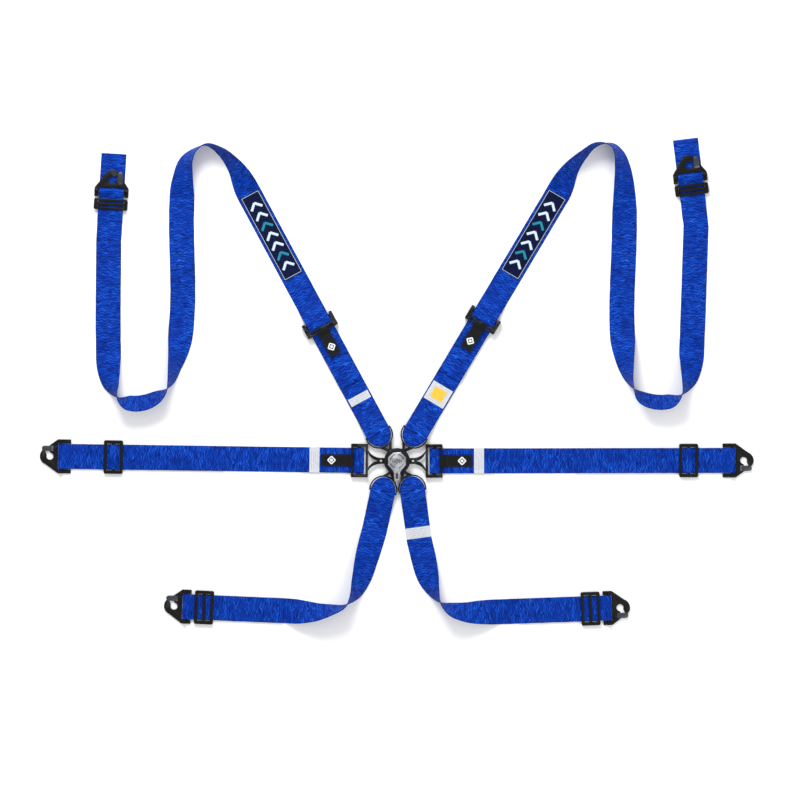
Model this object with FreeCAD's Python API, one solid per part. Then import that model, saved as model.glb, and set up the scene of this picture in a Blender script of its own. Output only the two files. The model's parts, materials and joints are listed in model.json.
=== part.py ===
import FreeCAD, Part

import os
from math import atan2, cos, degrees, hypot, pi, radians, sin

from FreeCAD import Rotation, Vector

# Six-point racing harness laid out flat, in millimetres.
# Origin: on the buckle's axis, at the back face of its base plate. +Z points out of the buckle's front,
# +X runs along the lap belt on the wearer's left, and +Y towards the shoulder belts.
# Every belt has its own flat frame: u runs outwards along the webbing, v to the left of u, z up.

# Webbing
WEB_WIDTH = 50.0
WEB_THICK = 1.8
LAYER_GAP = 0.3
EDGE_CLEARANCE = 2.0          # between a webbing edge and the metal beside it
ROUTE_STEP = 13.0             # spacing of the sections along a twisted stretch
ROUTE_NUDGE = 0.01            # step for reading a route's direction
ARC_STEPS = 8                 # sections round half a turn of a fold

# Buckle
HOUSING_R = 26.0
HOUSING_WALL = 3.0
BASE_THICK = 2.5
ROOF_THICK = 2.5
ROOF_BEVEL = 2.0
TONGUE_Z = 6.5
TONGUE_THICK = 2.5
SLOT_CLEARANCE = 0.4
BLADE_WIDTH = 12.0
BLADE_TIP_R = 15.0
PIN_R = 2.3
PIN_ARM_THICK = 1.5
PIN_CIRCLE_R = 19.5
PIN_TRAVEL = 3.6
CAM_R = 16.0
CAM_THICK = 1.2
SPINDLE_R = 3.9
RUN_CLEARANCE = 0.05
PAST = 1.0                    # how far a cutting shape reaches past the face it cuts
KNOB_R = 19.5
KNOB_THICK = 7.0
SPRING_RECESS = 3.0           # depth of the pocket under the knob for its return spring
KNOB_SCREW_LENGTH = 5.5
LEVER_WIDTH = 11.5
LEVER_REACH = 38.5
SCREW_R = 1.8
SCREW_CIRCLE_R = 20.5
SCREW_ANGLES = (28.0, 152.0, 212.0, 330.0)
SCREW_HEAD_DEPTH = 0.9        # metal left under a screw head
SCREW_GRIP = 8.0              # length of a housing screw in its boss

# Three-bar parts
CHEEK_WIDTH = 6.5
SLIDER_LENGTH = 38.0
SHORT_SLIDER_LENGTH = 22.0
BAR_THICK = 3.0
ADJUSTER_LENGTH = 34.0
ADJUSTER_BAR = (8.0, 3.2)     # length along the webbing, thickness
ADJUSTER_TRAVEL = 3.0
BAR_HOLD = 2.0                # how far a sliding bar's ends reach into the cheeks
GRIP_FRAME_LENGTH = 30.0
SLOT_PLAY = 0.3               # round an adjuster's sliding bar in its side slots
BAR_INSET = 14.0              # from the start of a lap frame to its sliding bar
TAB_WIDTH = 24.0
TAB_THICK = 1.2
TAB_TO_LABEL = 3.0
CROSSBAR_R = 2.0

# Hooks
HOOK_PLATE = 3.0
HOOK_HALF_WIDTH = 34.0
HOOK_REACH = 42.0             # from the webbing bar to the tip of the nose
HOOK_NOSE_R = 17.0
HOOK_BAR_R = 3.0
HOOK_BAR_RISE = 4.9           # bar axis above the underside of the plate
EYE_R = 7.0
EYE_OFFSET = 22.0             # from the webbing bar to the eye
THROAT_WIDTH = 8.0
THROAT_ANGLE = -62.0
GATE_EDGE = -21.0             # side of the gate furthest from the hook's middle
GATE_ROOT = 15.4              # where the gate's leaf leaves its clamp
GATE_TIP = 33.0
CLAMP_THICK = 1.4
GATE_THICK = 0.8
GATE_WIDTH = 10.5

# Adjusters on the shoulder belts, with places measured from the middle of the frame
REAR_BAR_BACK = 9.0
TAB_BAR_BACK = 15.0
GRIP_TAB_LENGTH = 55.0
GRIP_BAR_THICK = 3.0
TAB_EYE_R = 3.4
HOOP_CLEARANCE = 0.5
HOOP_WALL = 2.7
FITTED_HOOP_R = 28.2          # the places listed round the buckle suit hoops of this outer radius
OUTWARD = 2.2                 # each place moves outwards by this for every millimetre that the hoops grow
TONGUE_BAR = 4.0              # width of the bar that the webbing is sewn round
SEWN_TAIL = 52.0              # webbing turned back and sewn behind a loop
TAIL_STEP = 10.0              # length over which a belt comes down past the end of its tail

# Sewn-on pieces
LABEL_THICK = 0.4
LAP_LABEL_LENGTH = 20.0
PATCH_WIDTH = 40.0
PATCH_THICK = 0.8

# Derived heights
PITCH = WEB_THICK + LAYER_GAP
HALF_WEB = WEB_WIDTH / 2
LAYER_Z = [WEB_THICK / 2 + PITCH * n for n in range(3)]
INNER_V = HALF_WEB + EDGE_CLEARANCE
OUTER_V = INNER_V + CHEEK_WIDTH
HOOK_FOLD_R = HOOK_BAR_R + 0.4 + WEB_THICK / 2
TONGUE_TOP = TONGUE_Z + TONGUE_THICK
CAM_Z = TONGUE_TOP + 0.4
PIN_ARM_Z = CAM_Z + CAM_THICK + 0.3
ROOF_Z = PIN_ARM_Z + PIN_ARM_THICK + PIN_TRAVEL + 1.0
HOUSING_TOP = ROOF_Z + ROOF_THICK
KNOB_Z = HOUSING_TOP + 0.5
HUMP_Z = LAYER_Z[0] + WEB_THICK + ADJUSTER_BAR[1] + 1.1
ADJUSTER_BAR_Z = LAYER_Z[0] + WEB_THICK / 2 + 0.6
TAB_AXIS_Z = LAYER_Z[1] + WEB_THICK / 2 + 0.4 + TAB_EYE_R
HOOP_INNER_R = HALF_WEB + HOOP_CLEARANCE
HOOP_OUTER_R = HOOP_INNER_R + HOOP_WALL
TONGUE_FOLD_R = hypot(TONGUE_BAR, TONGUE_THICK) / 2 + 0.3 + WEB_THICK / 2
TONGUE_MID_Z = TONGUE_Z + TONGUE_THICK / 2
REAR_FOLD_R = CROSSBAR_R + 0.4 + WEB_THICK / 2
REAR_TOP_Z = LAYER_Z[0] + 2 * REAR_FOLD_R
GRIP_DIP_Z = REAR_TOP_Z + PITCH
GRIP_BAR_Z = GRIP_DIP_Z + WEB_THICK / 2 + 0.4
SLIDING_TOP_Z = GRIP_DIP_Z + 0.5
GRIP_HUMP_Z = SLIDING_TOP_Z + 0.4 + WEB_THICK / 2
GRIP_TAB_Z = GRIP_DIP_Z + WEB_THICK / 2 + 0.1 + TAB_EYE_R

UP = Vector(0, 0, 1)


# ---------------------------------------------------------------- helpers
def save(shape, node):
    if not shape.isValid():
        print("NOT VALID", node)
    shape.exportStep(os.path.join("parts", node + ".step"))


def group(shapes):
    return Part.makeCompound(shapes)


def fuse(shapes):
    return shapes[0].multiFuse(shapes[1:]).removeSplitter()


def box(u0, u1, v0, v1, z0, z1):
    return Part.makeBox(u1 - u0, v1 - v0, z1 - z0, Vector(u0, v0, z0))


def post(radius, z0, z1, u=0.0, v=0.0):
    return Part.makeCylinder(radius, z1 - z0, Vector(u, v, z0))


def rod(radius, u, z, v0, v1):
    """Round bar lying across the webbing."""
    return Part.makeCylinder(radius, v1 - v0, Vector(u, v0, z), Vector(0, 1, 0))


def prism(edges, z0, z1):
    face = Part.Face(Part.Wire(edges))
    face.translate(Vector(0, 0, z0))
    return face.extrude(Vector(0, 0, z1 - z0))


def outline(points):
    """Straight edges through (u, v) points, closed."""
    corners = [Vector(u, v, 0) for u, v in points]
    return [Part.makeLine(a, b) for a, b in zip(corners, corners[1:] + corners[:1])]


def arc_edge(a, b, c):
    return Part.Arc(Vector(*a, 0), Vector(*b, 0), Vector(*c, 0)).toShape()


def line_edge(a, b):
    return Part.makeLine(Vector(*a, 0), Vector(*b, 0))


def spring_coil(radius, wire_r, z0, z1, turns):
    """Helical spring whose wire stays between the two heights."""
    height = z1 - z0 - 2 * wire_r
    helix = Part.makeHelix(height / turns, height, radius)
    helix.translate(Vector(0, 0, z0 + wire_r))
    start = Vector(radius, 0, z0 + wire_r)
    section = Part.Wire(Part.makeCircle(wire_r, start, Vector(0, 1, 0)))
    return Part.Wire(helix.Edges).makePipeShell([section], True, True)


class Lay:
    """A flat frame lying on the floor: origin, and the direction that u points in."""

    def __init__(self, x, y, heading_deg):
        self.origin = Vector(x, y, 0)
        self.heading_deg = heading_deg
        angle = radians(heading_deg)
        self.along = Vector(cos(angle), sin(angle), 0)
        self.left = Vector(-sin(angle), cos(angle), 0)

    def place(self, shape):
        turned = shape.copy()
        turned.rotate(Vector(0, 0, 0), UP, self.heading_deg)
        turned.translate(self.origin)
        return turned

    def point(self, u, z):
        return self.origin + self.along * u + UP * z


# ---------------------------------------------------------------- webbing
def fold(u, z, radius, start_deg, end_deg):
    """Points (u, z) round a fold, from one angle to the other about its centre."""
    turn = (end_deg - start_deg) / ARC_STEPS
    angles = [radians(start_deg + turn * n) for n in range(ARC_STEPS + 1)]
    return [(u + radius * cos(a), z + radius * sin(a)) for a in angles]


def profile_stations(lay, profile, width_dir):
    """Stations of a strip seen from its side: it keeps one width direction."""
    return [(lay.point(u, z), width_dir) for u, z in profile]


def monotone_slopes(knots, values):
    """Slopes for a smooth curve through the values that never overshoots them."""
    steps = [(b - a) / (t - s) for a, b, s, t in zip(values, values[1:], knots, knots[1:])]
    slopes = [steps[0]]
    for before, after in zip(steps, steps[1:]):
        same_way = before * after > 0
        slopes.append(2 * before * after / (before + after) if same_way else 0.0)
    slopes.append(steps[-1])
    return slopes


def hermite(knots, values, slopes, n, t):
    span = knots[n + 1] - knots[n]
    s = (t - knots[n]) / span
    start = values[n] * (1 + 2 * s) * (1 - s) ** 2 + slopes[n] * span * s * (1 - s) ** 2
    end = values[n + 1] * s * s * (3 - 2 * s) + slopes[n + 1] * span * s * s * (s - 1)
    return start + end


def chord_slopes(knots, values):
    """Slopes of a smooth curve through evenly treated points, straight where its runs are straight."""
    steps = [(b - a) / (t - s) for a, b, s, t in zip(values, values[1:], knots, knots[1:])]
    spans = [t - s for s, t in zip(knots, knots[1:])]
    slopes = [steps[0]]
    for n in range(len(steps) - 1):
        total = spans[n] + spans[n + 1]
        slopes.append((steps[n] * spans[n + 1] + steps[n + 1] * spans[n]) / total)
    slopes.append(steps[-1])
    return slopes


class Route:
    """A smooth path on the floor through (x, y, roll) points."""

    def __init__(self, points):
        self.knots = [0.0]
        for (x0, y0, _), (x1, y1, _) in zip(points, points[1:]):
            self.knots.append(self.knots[-1] + hypot(x1 - x0, y1 - y0))
        self.xs, self.ys, self.rolls = ([p[n] for p in points] for n in range(3))
        self.x_slopes = chord_slopes(self.knots, self.xs)
        self.y_slopes = chord_slopes(self.knots, self.ys)
        self.roll_slopes = monotone_slopes(self.knots, self.rolls)

    def centre(self, run, t):
        x = hermite(self.knots, self.xs, self.x_slopes, run, t)
        y = hermite(self.knots, self.ys, self.y_slopes, run, t)
        return Vector(x, y, 0)

    def station(self, run, t, hand):
        """Centre and width direction of the strip at a distance along one run of the path."""
        centre = self.centre(run, t)
        nudge = ROUTE_NUDGE if t < self.knots[-1] else -ROUTE_NUDGE
        ahead = ((self.centre(run, t + nudge) - centre) * (1 / nudge)).normalize()
        side = UP.cross(ahead) * hand
        roll = radians(hermite(self.knots, self.rolls, self.roll_slopes, run, t))
        height = HALF_WEB * abs(sin(roll)) + WEB_THICK / 2 * abs(cos(roll))
        return centre + UP * height, side * cos(roll) - UP * sin(roll)


def route_stations(points, hand):
    """Stations of a strip that lies on the floor and twists along a route.

    At roll 0 and 180 it lies flat. Between them its inner edge stays on the floor and its outer edge
    rises over it. hand is 1 for a belt on the -X side and -1 for its mirror image."""
    route = Route(points)
    stations = []
    for run in range(len(points) - 1):
        span = route.knots[run + 1] - route.knots[run]
        straight = route.rolls[run] == route.rolls[run + 1]
        count = 1 if straight else max(1, round(span / ROUTE_STEP))
        for step in range(count):
            stations.append(route.station(run, route.knots[run] + span * step / count, hand))
    stations.append(route.station(len(points) - 2, route.knots[-1], hand))
    return stations


def strip(stations, width=WEB_WIDTH, thick=WEB_THICK):
    """One closed solid through rectangular sections at the stations."""
    wires = []
    for n, (centre, width_dir) in enumerate(stations):
        before = stations[max(n - 1, 0)][0]
        after = stations[min(n + 1, len(stations) - 1)][0]
        ahead = (after - before).normalize()
        face_dir = ahead.cross(width_dir).normalize()
        across = width_dir * (width / 2)
        through = face_dir * (thick / 2)
        corners = [centre + across + through, centre - across + through,
                   centre - across - through, centre + across - through]
        wires.append(Part.makePolygon(corners + corners[:1]))
    return Part.makeLoft(wires, True, True)


# ---------------------------------------------------------------- belts: where each one lies
def radial_deg(x, y):
    return degrees(atan2(y, x))


LAP = {
    "left": {"heading": 179.2, "frame": 58.0, "tail_in": 190.0, "bar": 672.0, "tail_out": 346.0,
             "slider": 567.0, "label": 155.0},
    "right": {"heading": 0.1, "frame": 57.0, "tail_in": 194.0, "bar": 671.0, "tail_out": 356.0,
              "slider": 583.0, "label": 154.0},
}

# loop: centre of the tongue's hoop. The route lists where the belt's middle passes, and its roll there.
# patch: how far its two ends lie before the route's first bend. The other lengths run from the loop.
SHOULDER = {
    "left": {"hand": 1, "loop": (-36.0, 53.0), "adjuster": 250.7, "tail": 116.5,
             "label": (74.0, 90.0, 44.0), "patch": (188.0, 2.0), "end_heading": 86.5,
             "route": [(-296, 535, 0), (-326, 591, 53), (-351, 617, 72), (-382, 631, 90), (-404, 620, 103),
                       (-420, 600, 125), (-428, 562, 150), (-430.4, 512, 180), (-430.4, 282, 180),
                       (-437, 216, 220), (-443.4, 188, 240), (-451, 158, 258), (-459, 143, 275),
                       (-480, 127, 302), (-508, 116, 310), (-534, 116, 307), (-556, 126, 272),
                       (-570, 152, 227), (-576, 184, 200), (-577, 222, 180), (-576.6, 440, 180)]},
    "right": {"hand": -1, "loop": (35.0, 53.0), "adjuster": 268.8, "tail": 137.0,
              "label": (73.0, 113.0, 45.0), "patch": (189.0, 2.0), "end_heading": 97.0,
              "route": [(322, 535, 0), (351, 588, 53), (372, 611, 70), (395, 630, 82), (413, 634, 92),
                        (432, 629, 104), (444, 612, 118), (450, 588, 131), (453.5, 552, 147),
                        (454.8, 512, 163), (454.6, 462, 180), (450.4, 262, 180), (453, 218, 213),
                        (457, 188, 234), (463.6, 162, 255), (472, 145, 272), (489, 127, 300),
                        (516, 118, 307), (542, 119, 305), (567, 132, 270), (583, 162, 228),
                        (588, 192, 203), (589.5, 226, 180), (598, 470, 180)]},
}

CROTCH = {
    "left": {"hand": 1, "loop": (-27.5, -57.0), "end_heading": 177.6,
             "route": [(-45, -138, 0), (-60, -192, 20), (-72, -238, 42), (-84, -268, 66), (-102, -288, 92),
                       (-134, -297, 115), (-162, -301, 135), (-190, -301, 156), (-222, -299.5, 180)],
             "bar": 202.0, "slider": 164.0, "tail": 6.0},
    "right": {"hand": -1, "loop": (30.5, -55.0), "end_heading": 2.0,
              "route": [(44.5, -158, 0), (54, -198, 8), (62, -232, 30), (70.5, -256, 55), (86, -282, 88),
                        (111, -296, 122), (138, -301.5, 140), (170, -302, 160), (205, -301.5, 180)],
              "bar": 219.0, "slider": 182.0, "tail": 37.0},
}
CROTCH_LABEL = (26.0, 4.0)    # distances of its ends before the route's first bend
SHOULDER_HOOK_BAR = 100.0
SHOULDER_SLIDER = 73.0
SHOULDER_FOLD = 60.0
SHOULDER_TAIL = 175.0
LAP_EAR = 20.0
SHORT_EAR = 12.0


def outward_shift():
    """How far the hoops and lap frames stand beyond their listed places, so that wider hoops still clear."""
    return OUTWARD * (HOOP_OUTER_R - FITTED_HOOP_R)


def loop_centre(belt):
    x, y = belt["loop"]
    scale = 1 + outward_shift() / hypot(x, y)
    return x * scale, y * scale


def frame_start(belt):
    return belt["frame"] + outward_shift()


def loop_lay(belt):
    (x0, y0), (x1, y1, _) = loop_centre(belt), belt["route"][0]
    return Lay(x0, y0, degrees(atan2(y1 - y0, x1 - x0)))


def straight_run(belt):
    """Length from the hoop's centre to the route's first bend."""
    (x0, y0), (x1, y1, _) = loop_centre(belt), belt["route"][0]
    return hypot(x1 - x0, y1 - y0)


def end_lay(belt):
    x, y, _ = belt["route"][-1]
    return Lay(x, y, belt["end_heading"])


TONGUE_ANGLES = ([LAP[side]["heading"] for side in LAP]
                 + [radial_deg(*belt["loop"]) for group_ in (SHOULDER, CROTCH) for belt in group_.values()])
FIXED_ANGLE = LAP["left"]["heading"]


# ---------------------------------------------------------------- buckle
def base_plate():
    plate = post(HOUSING_R, 0, BASE_THICK)
    holes = [screw_hole(SCREW_CIRCLE_R, angle) for angle in SCREW_ANGLES]
    holes.append(screw_hole(PIN_CIRCLE_R, FIXED_ANGLE))
    return plate.cut(group(holes))


def polar(shape, angle):
    turned = shape.copy()
    turned.rotate(Vector(0, 0, 0), UP, angle)
    return turned


def screw_hole(radius, angle):
    hole = post(SCREW_R + RUN_CLEARANCE, -PAST, BASE_THICK + PAST, radius)
    counterbore = post(2 * SCREW_R, -PAST, BASE_THICK - SCREW_HEAD_DEPTH, radius)
    return polar(hole.fuse(counterbore), angle)


def screw(radius, angle, top):
    head = post(2 * SCREW_R - 0.1, 0.2, BASE_THICK - SCREW_HEAD_DEPTH, radius)
    hex_socket = post(SCREW_R * 0.7, 0, 1.0, radius)
    shank = post(SCREW_R, BASE_THICK - 1.0, top, radius)
    return polar(head.fuse(shank).cut(hex_socket), angle)


def housing():
    bevel_z = HOUSING_TOP - ROOF_BEVEL
    side = post(HOUSING_R, BASE_THICK, bevel_z)
    shoulder = Part.makeCone(HOUSING_R, HOUSING_R - ROOF_BEVEL, ROOF_BEVEL, Vector(0, 0, bevel_z))
    cavity = post(HOUSING_R - HOUSING_WALL, BASE_THICK - PAST, ROOF_Z)
    bosses = [polar(post(SCREW_R + 1, BASE_THICK, ROOF_Z, SCREW_CIRCLE_R), angle) for angle in SCREW_ANGLES]
    shell = fuse([side.fuse(shoulder).cut(cavity)] + bosses)
    cuts = [post(SPINDLE_R + RUN_CLEARANCE, ROOF_Z - PAST, HOUSING_TOP + PAST)]
    for angle in SCREW_ANGLES:
        hole = post(SCREW_R + RUN_CLEARANCE, 0, BASE_THICK + SCREW_GRIP + 1, SCREW_CIRCLE_R)
        cuts.append(polar(hole, angle))
    for angle in TONGUE_ANGLES:
        half = BLADE_WIDTH / 2 + SLOT_CLEARANCE
        slot = box(HOUSING_R - HOUSING_WALL - 1.5, HOUSING_R + 1, -half, half,
                   TONGUE_Z - SLOT_CLEARANCE, TONGUE_TOP + SLOT_CLEARANCE)
        cuts.append(polar(slot, angle))
    return shell.cut(group(cuts))


def knob():
    corners = [(KNOB_R * cos(radians(a)), KNOB_R * sin(radians(a))) for a in range(22, 382, 45)]
    disc = prism(outline(corners), KNOB_Z, KNOB_Z + KNOB_THICK)
    half = LEVER_WIDTH / 2
    neck = KNOB_R * 0.62
    waist = KNOB_R + 4
    lever = prism(outline([(-neck, -neck), (-half, -waist), (-half, -LEVER_REACH), (half, -LEVER_REACH),
                           (half, -waist), (neck, -neck)]), KNOB_Z, KNOB_Z + KNOB_THICK)
    recess = post(KNOB_R / 2, KNOB_Z - PAST, KNOB_Z + SPRING_RECESS)
    spindle = post(SPINDLE_R, CAM_Z, KNOB_Z + SPRING_RECESS + 1)
    screw_bore = post(SCREW_R, CAM_Z - PAST, CAM_Z + KNOB_SCREW_LENGTH + 0.5)
    return fuse([disc.fuse(lever).cut(recess), spindle]).cut(screw_bore)


def cam_plate():
    disc = post(CAM_R, CAM_Z, CAM_Z + CAM_THICK)
    cuts = [post(SPINDLE_R + RUN_CLEARANCE, 0, HOUSING_TOP)]
    for angle in TONGUE_ANGLES:
        cuts.append(polar(post(1.5, 0, HOUSING_TOP, CAM_R - 5), angle + 25))
    return disc.cut(group(cuts))


def knob_screw():
    head = post(SPINDLE_R + 2, CAM_Z - 2, CAM_Z)
    shank = post(SCREW_R - RUN_CLEARANCE, CAM_Z, CAM_Z + KNOB_SCREW_LENGTH)
    return head.fuse(shank)


def latch_pin(angle):
    pin = post(PIN_R, TONGUE_Z - 0.7, PIN_ARM_Z + PIN_ARM_THICK, PIN_CIRCLE_R)
    arm = box(CAM_R - 3.5, PIN_CIRCLE_R, -1.5, 1.5, PIN_ARM_Z, PIN_ARM_Z + PIN_ARM_THICK)
    return polar(pin.fuse(arm), angle)


def latch_spring(angle):
    coil = spring_coil(PIN_R - 0.5, 0.25, PIN_ARM_Z + PIN_ARM_THICK + 0.05, ROOF_Z - 0.05, 3)
    coil.translate(Vector(PIN_CIRCLE_R, 0, 0))
    return polar(coil, angle)


def build_buckle():
    moving = [angle for angle in TONGUE_ANGLES if angle != FIXED_ANGLE]
    save(base_plate(), "buckle_base_plate")
    save(housing(), "buckle_housing")
    screws = [screw(SCREW_CIRCLE_R, angle, BASE_THICK + SCREW_GRIP) for angle in SCREW_ANGLES]
    save(group(screws), "housing_screws")
    save(screw(PIN_CIRCLE_R, FIXED_ANGLE, TONGUE_TOP + 2), "fixed_tongue_screw")
    save(knob(), "release_knob")
    save(cam_plate(), "cam_plate")
    save(knob_screw(), "knob_screw")
    return_spring = spring_coil(KNOB_R / 2 - 2.5, 0.6, HOUSING_TOP + 0.1, KNOB_Z + SPRING_RECESS - 0.1, 2)
    save(return_spring, "knob_return_spring")
    save(group([latch_pin(angle) for angle in moving]), "latch_pins")
    save(group([latch_spring(angle) for angle in moving]), "latch_springs")


# ---------------------------------------------------------------- tongues
def blade(reach, fixed):
    """Flat blade in the buckle's radial frame. Its latch hole is open towards the tip."""
    half = BLADE_WIDTH / 2
    plate = box(BLADE_TIP_R, reach, -half, half, TONGUE_Z, TONGUE_TOP)
    hole_r = SCREW_R + 0.2 if fixed else PIN_R + 0.2
    hole = post(hole_r, 0, HOUSING_TOP, PIN_CIRCLE_R)
    if not fixed:
        hole = hole.fuse(box(BLADE_TIP_R - 1, PIN_CIRCLE_R, -hole_r, hole_r, 0, HOUSING_TOP))
    return plate.cut(hole)


def cheeks(u0, u1, z0, z1):
    left = box(u0, u1, INNER_V, OUTER_V, z0, z1)
    right = box(u0, u1, -OUTER_V, -INNER_V, z0, z1)
    return [left, right]


def lap_tongue(start, fixed):
    """Blade, two curved arms and the adjuster's frame in one casting."""
    end = start + ADJUSTER_LENGTH
    neck = HOUSING_R + 6
    spread = OUTER_V - 11
    half = BLADE_WIDTH / 2
    mid = (neck + start) / 2
    arms = prism([arc_edge((neck, half), (mid, half + 3), (start + 1, spread)),
                  line_edge((start + 1, spread), (start + 1, -spread)),
                  arc_edge((start + 1, -spread), (mid, -half - 3), (neck, -half)),
                  line_edge((neck, -half), (neck, half))], TONGUE_Z, TONGUE_TOP)
    window = prism([arc_edge((neck + 7, 0), (mid + 4, 4.2), (start, spread - 6.5)),
                    line_edge((start, spread - 6.5), (start, 6.5 - spread)),
                    arc_edge((start, 6.5 - spread), (mid + 4, -4.2), (neck + 7, 0))], 0, HOUSING_TOP)
    small_hole = post(2.2, 0, HOUSING_TOP, neck)
    inner_bar = box(start, start + 5, -INNER_V, INNER_V, TONGUE_Z, TONGUE_TOP)
    outer_bar = rod(CROSSBAR_R, end - CROSSBAR_R, TAB_AXIS_Z, -INNER_V, INNER_V)
    slot = bar_slot(start + BAR_INSET, ADJUSTER_BAR_Z)
    frame = [side.cut(slot) for side in cheeks(start, end, 1.0, TAB_AXIS_Z + CROSSBAR_R + 0.3)]
    body = blade(neck + 2, fixed).fuse(arms).cut(window.fuse(small_hole))
    return fuse([body, inner_bar, outer_bar] + frame)


def bar_slot(u0, z0):
    """Room in the cheeks for the ends of a sliding bar over its whole travel."""
    length, thick = ADJUSTER_BAR
    reach = INNER_V + BAR_HOLD + 0.5
    return box(u0 - ADJUSTER_TRAVEL - SLOT_PLAY, u0 + length + SLOT_PLAY, -reach, reach,
               z0 - SLOT_PLAY, z0 + thick + SLOT_PLAY)


def adjuster_bar(u0, z0):
    reach = INNER_V + BAR_HOLD
    return box(u0, u0 + ADJUSTER_BAR[0], -reach, reach, z0, z0 + ADJUSTER_BAR[1])


def hoop_tongue(lay, belt):
    """Blade joined to a round hoop with a straight bar for the webbing, as one plate."""
    x, y = loop_centre(belt)
    radial = Lay(0, 0, radial_deg(x, y))
    reach = hypot(x, y)
    ring = post(HOOP_OUTER_R, TONGUE_Z, TONGUE_TOP).cut(post(HOOP_INNER_R, 0, HOUSING_TOP))
    ring = ring.cut(box(TONGUE_BAR, 2 * HOOP_OUTER_R, -HOOP_OUTER_R - 1, HOOP_OUTER_R + 1, 0, HOUSING_TOP))
    bar = box(TONGUE_BAR / 2, TONGUE_BAR * 1.5, -HOOP_OUTER_R + 0.3, HOOP_OUTER_R - 0.3, TONGUE_Z, TONGUE_TOP)
    half = BLADE_WIDTH / 2
    flare = reach - 20
    gusset = prism(outline([(HOUSING_R + 2, half), (flare, 17), (flare, -17), (HOUSING_R + 2, -half)]),
                   TONGUE_Z, TONGUE_TOP)
    eye_end = reach - HOOP_OUTER_R - 0.2
    eye = prism(outline([(eye_end - 6, 0), (eye_end, -4), (eye_end, 4)]), 0, HOUSING_TOP)
    stem = blade(HOUSING_R + 3, False).fuse(gusset).cut(eye)
    inside = lay.place(post(HOOP_INNER_R, 0, HOUSING_TOP))
    return fuse([radial.place(stem).cut(inside), lay.place(ring), lay.place(bar)])


# ---------------------------------------------------------------- hardware on the webbing
def slider(length, layers):
    """Three-bar slide: two cheeks joined by three bars over the given number of webbing layers."""
    bar_z = LAYER_Z[layers - 1] + WEB_THICK / 2 + 0.4
    top = bar_z + BAR_THICK
    width = min(6.0, length / 4)
    half = length / 2
    bars = [box(u - width / 2, u + width / 2, -INNER_V, INNER_V, bar_z, top)
            for u in (width / 2 - half, 0, half - width / 2)]
    return fuse(cheeks(-half, half, 0.4, top) + bars)


def hook_plate(ear):
    """Hook in its own frame: the webbing bar is at u = 0 and the plate's underside at z = 0."""
    nose_u = HOOK_REACH - HOOK_NOSE_R
    flank = Vector(nose_u + 6, HOOK_NOSE_R - 1.1)
    half = HOOK_HALF_WIDTH
    inner = HALF_WEB + 1.0
    plate = prism(outline([(-ear, half), (6, half), (flank.x, flank.y), (flank.x, -flank.y), (6, -half),
                           (-ear, -half)]), 0, HOOK_PLATE).fuse(post(HOOK_NOSE_R, 0, HOOK_PLATE, nose_u))
    window = box(-ear - 1, 6, -inner, inner, -1, HOOK_PLATE + 1)
    throat = box(0, HOOK_REACH, -THROAT_WIDTH / 2, THROAT_WIDTH / 2, -1, HOOK_PLATE + 1)
    throat.rotate(Vector(0, 0, 0), UP, THROAT_ANGLE)
    throat.translate(Vector(EYE_OFFSET, 0, 0))
    eye = post(EYE_R, -1, HOOK_PLATE + 1, EYE_OFFSET)
    lugs = [rod(4.0, 0, HOOK_BAR_RISE, -half, -inner), rod(4.0, 0, HOOK_BAR_RISE, inner, half),
            box(-4, 4, -half, -inner, 0, HOOK_BAR_RISE), box(-4, 4, inner, half, 0, HOOK_BAR_RISE)]
    bar = rod(HOOK_BAR_R, 0, HOOK_BAR_RISE, -inner, inner)
    return fuse([plate.cut(window).cut(throat).cut(eye)] + lugs + [bar])


def gate_clamp():
    pad = box(7, 15, GATE_EDGE, GATE_EDGE + GATE_WIDTH, HOOK_PLATE, HOOK_PLATE + CLAMP_THICK)
    rivet = post(2, HOOK_PLATE + CLAMP_THICK, HOOK_PLATE + CLAMP_THICK + 1, 11, GATE_EDGE + GATE_WIDTH / 2)
    return pad.fuse(rivet)


def hook_gate():
    """Leaf spring across the hook's throat, bending up from its riveted end."""
    z0 = HOOK_PLATE + 0.3
    leaf = box(GATE_ROOT, GATE_TIP, GATE_EDGE, GATE_EDGE + GATE_WIDTH, z0, z0 + GATE_THICK)
    tip = post(GATE_WIDTH / 2, z0, z0 + GATE_THICK, GATE_TIP, GATE_EDGE + GATE_WIDTH / 2)
    return leaf.fuse(tip)


def save_hook(lay, bar_u, low_z, ear, name):
    lift = Vector(bar_u, 0, low_z + HOOK_FOLD_R - HOOK_BAR_RISE)
    pieces = []
    for piece in (hook_plate(ear), gate_clamp(), hook_gate()):
        piece.translate(lift)
        pieces.append(lay.place(piece))
    save(group(pieces[:2]), name + "_hook")
    save(pieces[2], name + "_hook_gate")


def save_slider(lay, centre_u, length, layers, name):
    body = slider(length, layers)
    body.translate(Vector(centre_u, 0, 0))
    save(lay.place(body), name + "_slider")


def pull_tab(axis_u, axis_z, length, outwards):
    """Fabric tab hung on a crossbar by its eye; it lies away from the bar on one side."""
    half = TAB_WIDTH / 2
    bore = rod(CROSSBAR_R + 0.2, axis_u, axis_z, -half - PAST, half + PAST)
    eye = rod(TAB_EYE_R, axis_u, axis_z, -half, half).cut(bore)
    low = axis_z - TAB_EYE_R
    u0, u1 = (axis_u, axis_u + length) if outwards else (axis_u - length, axis_u)
    flap = box(u0, u1, -half, half, low, low + TAB_THICK)
    return flap.fuse(eye)


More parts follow.
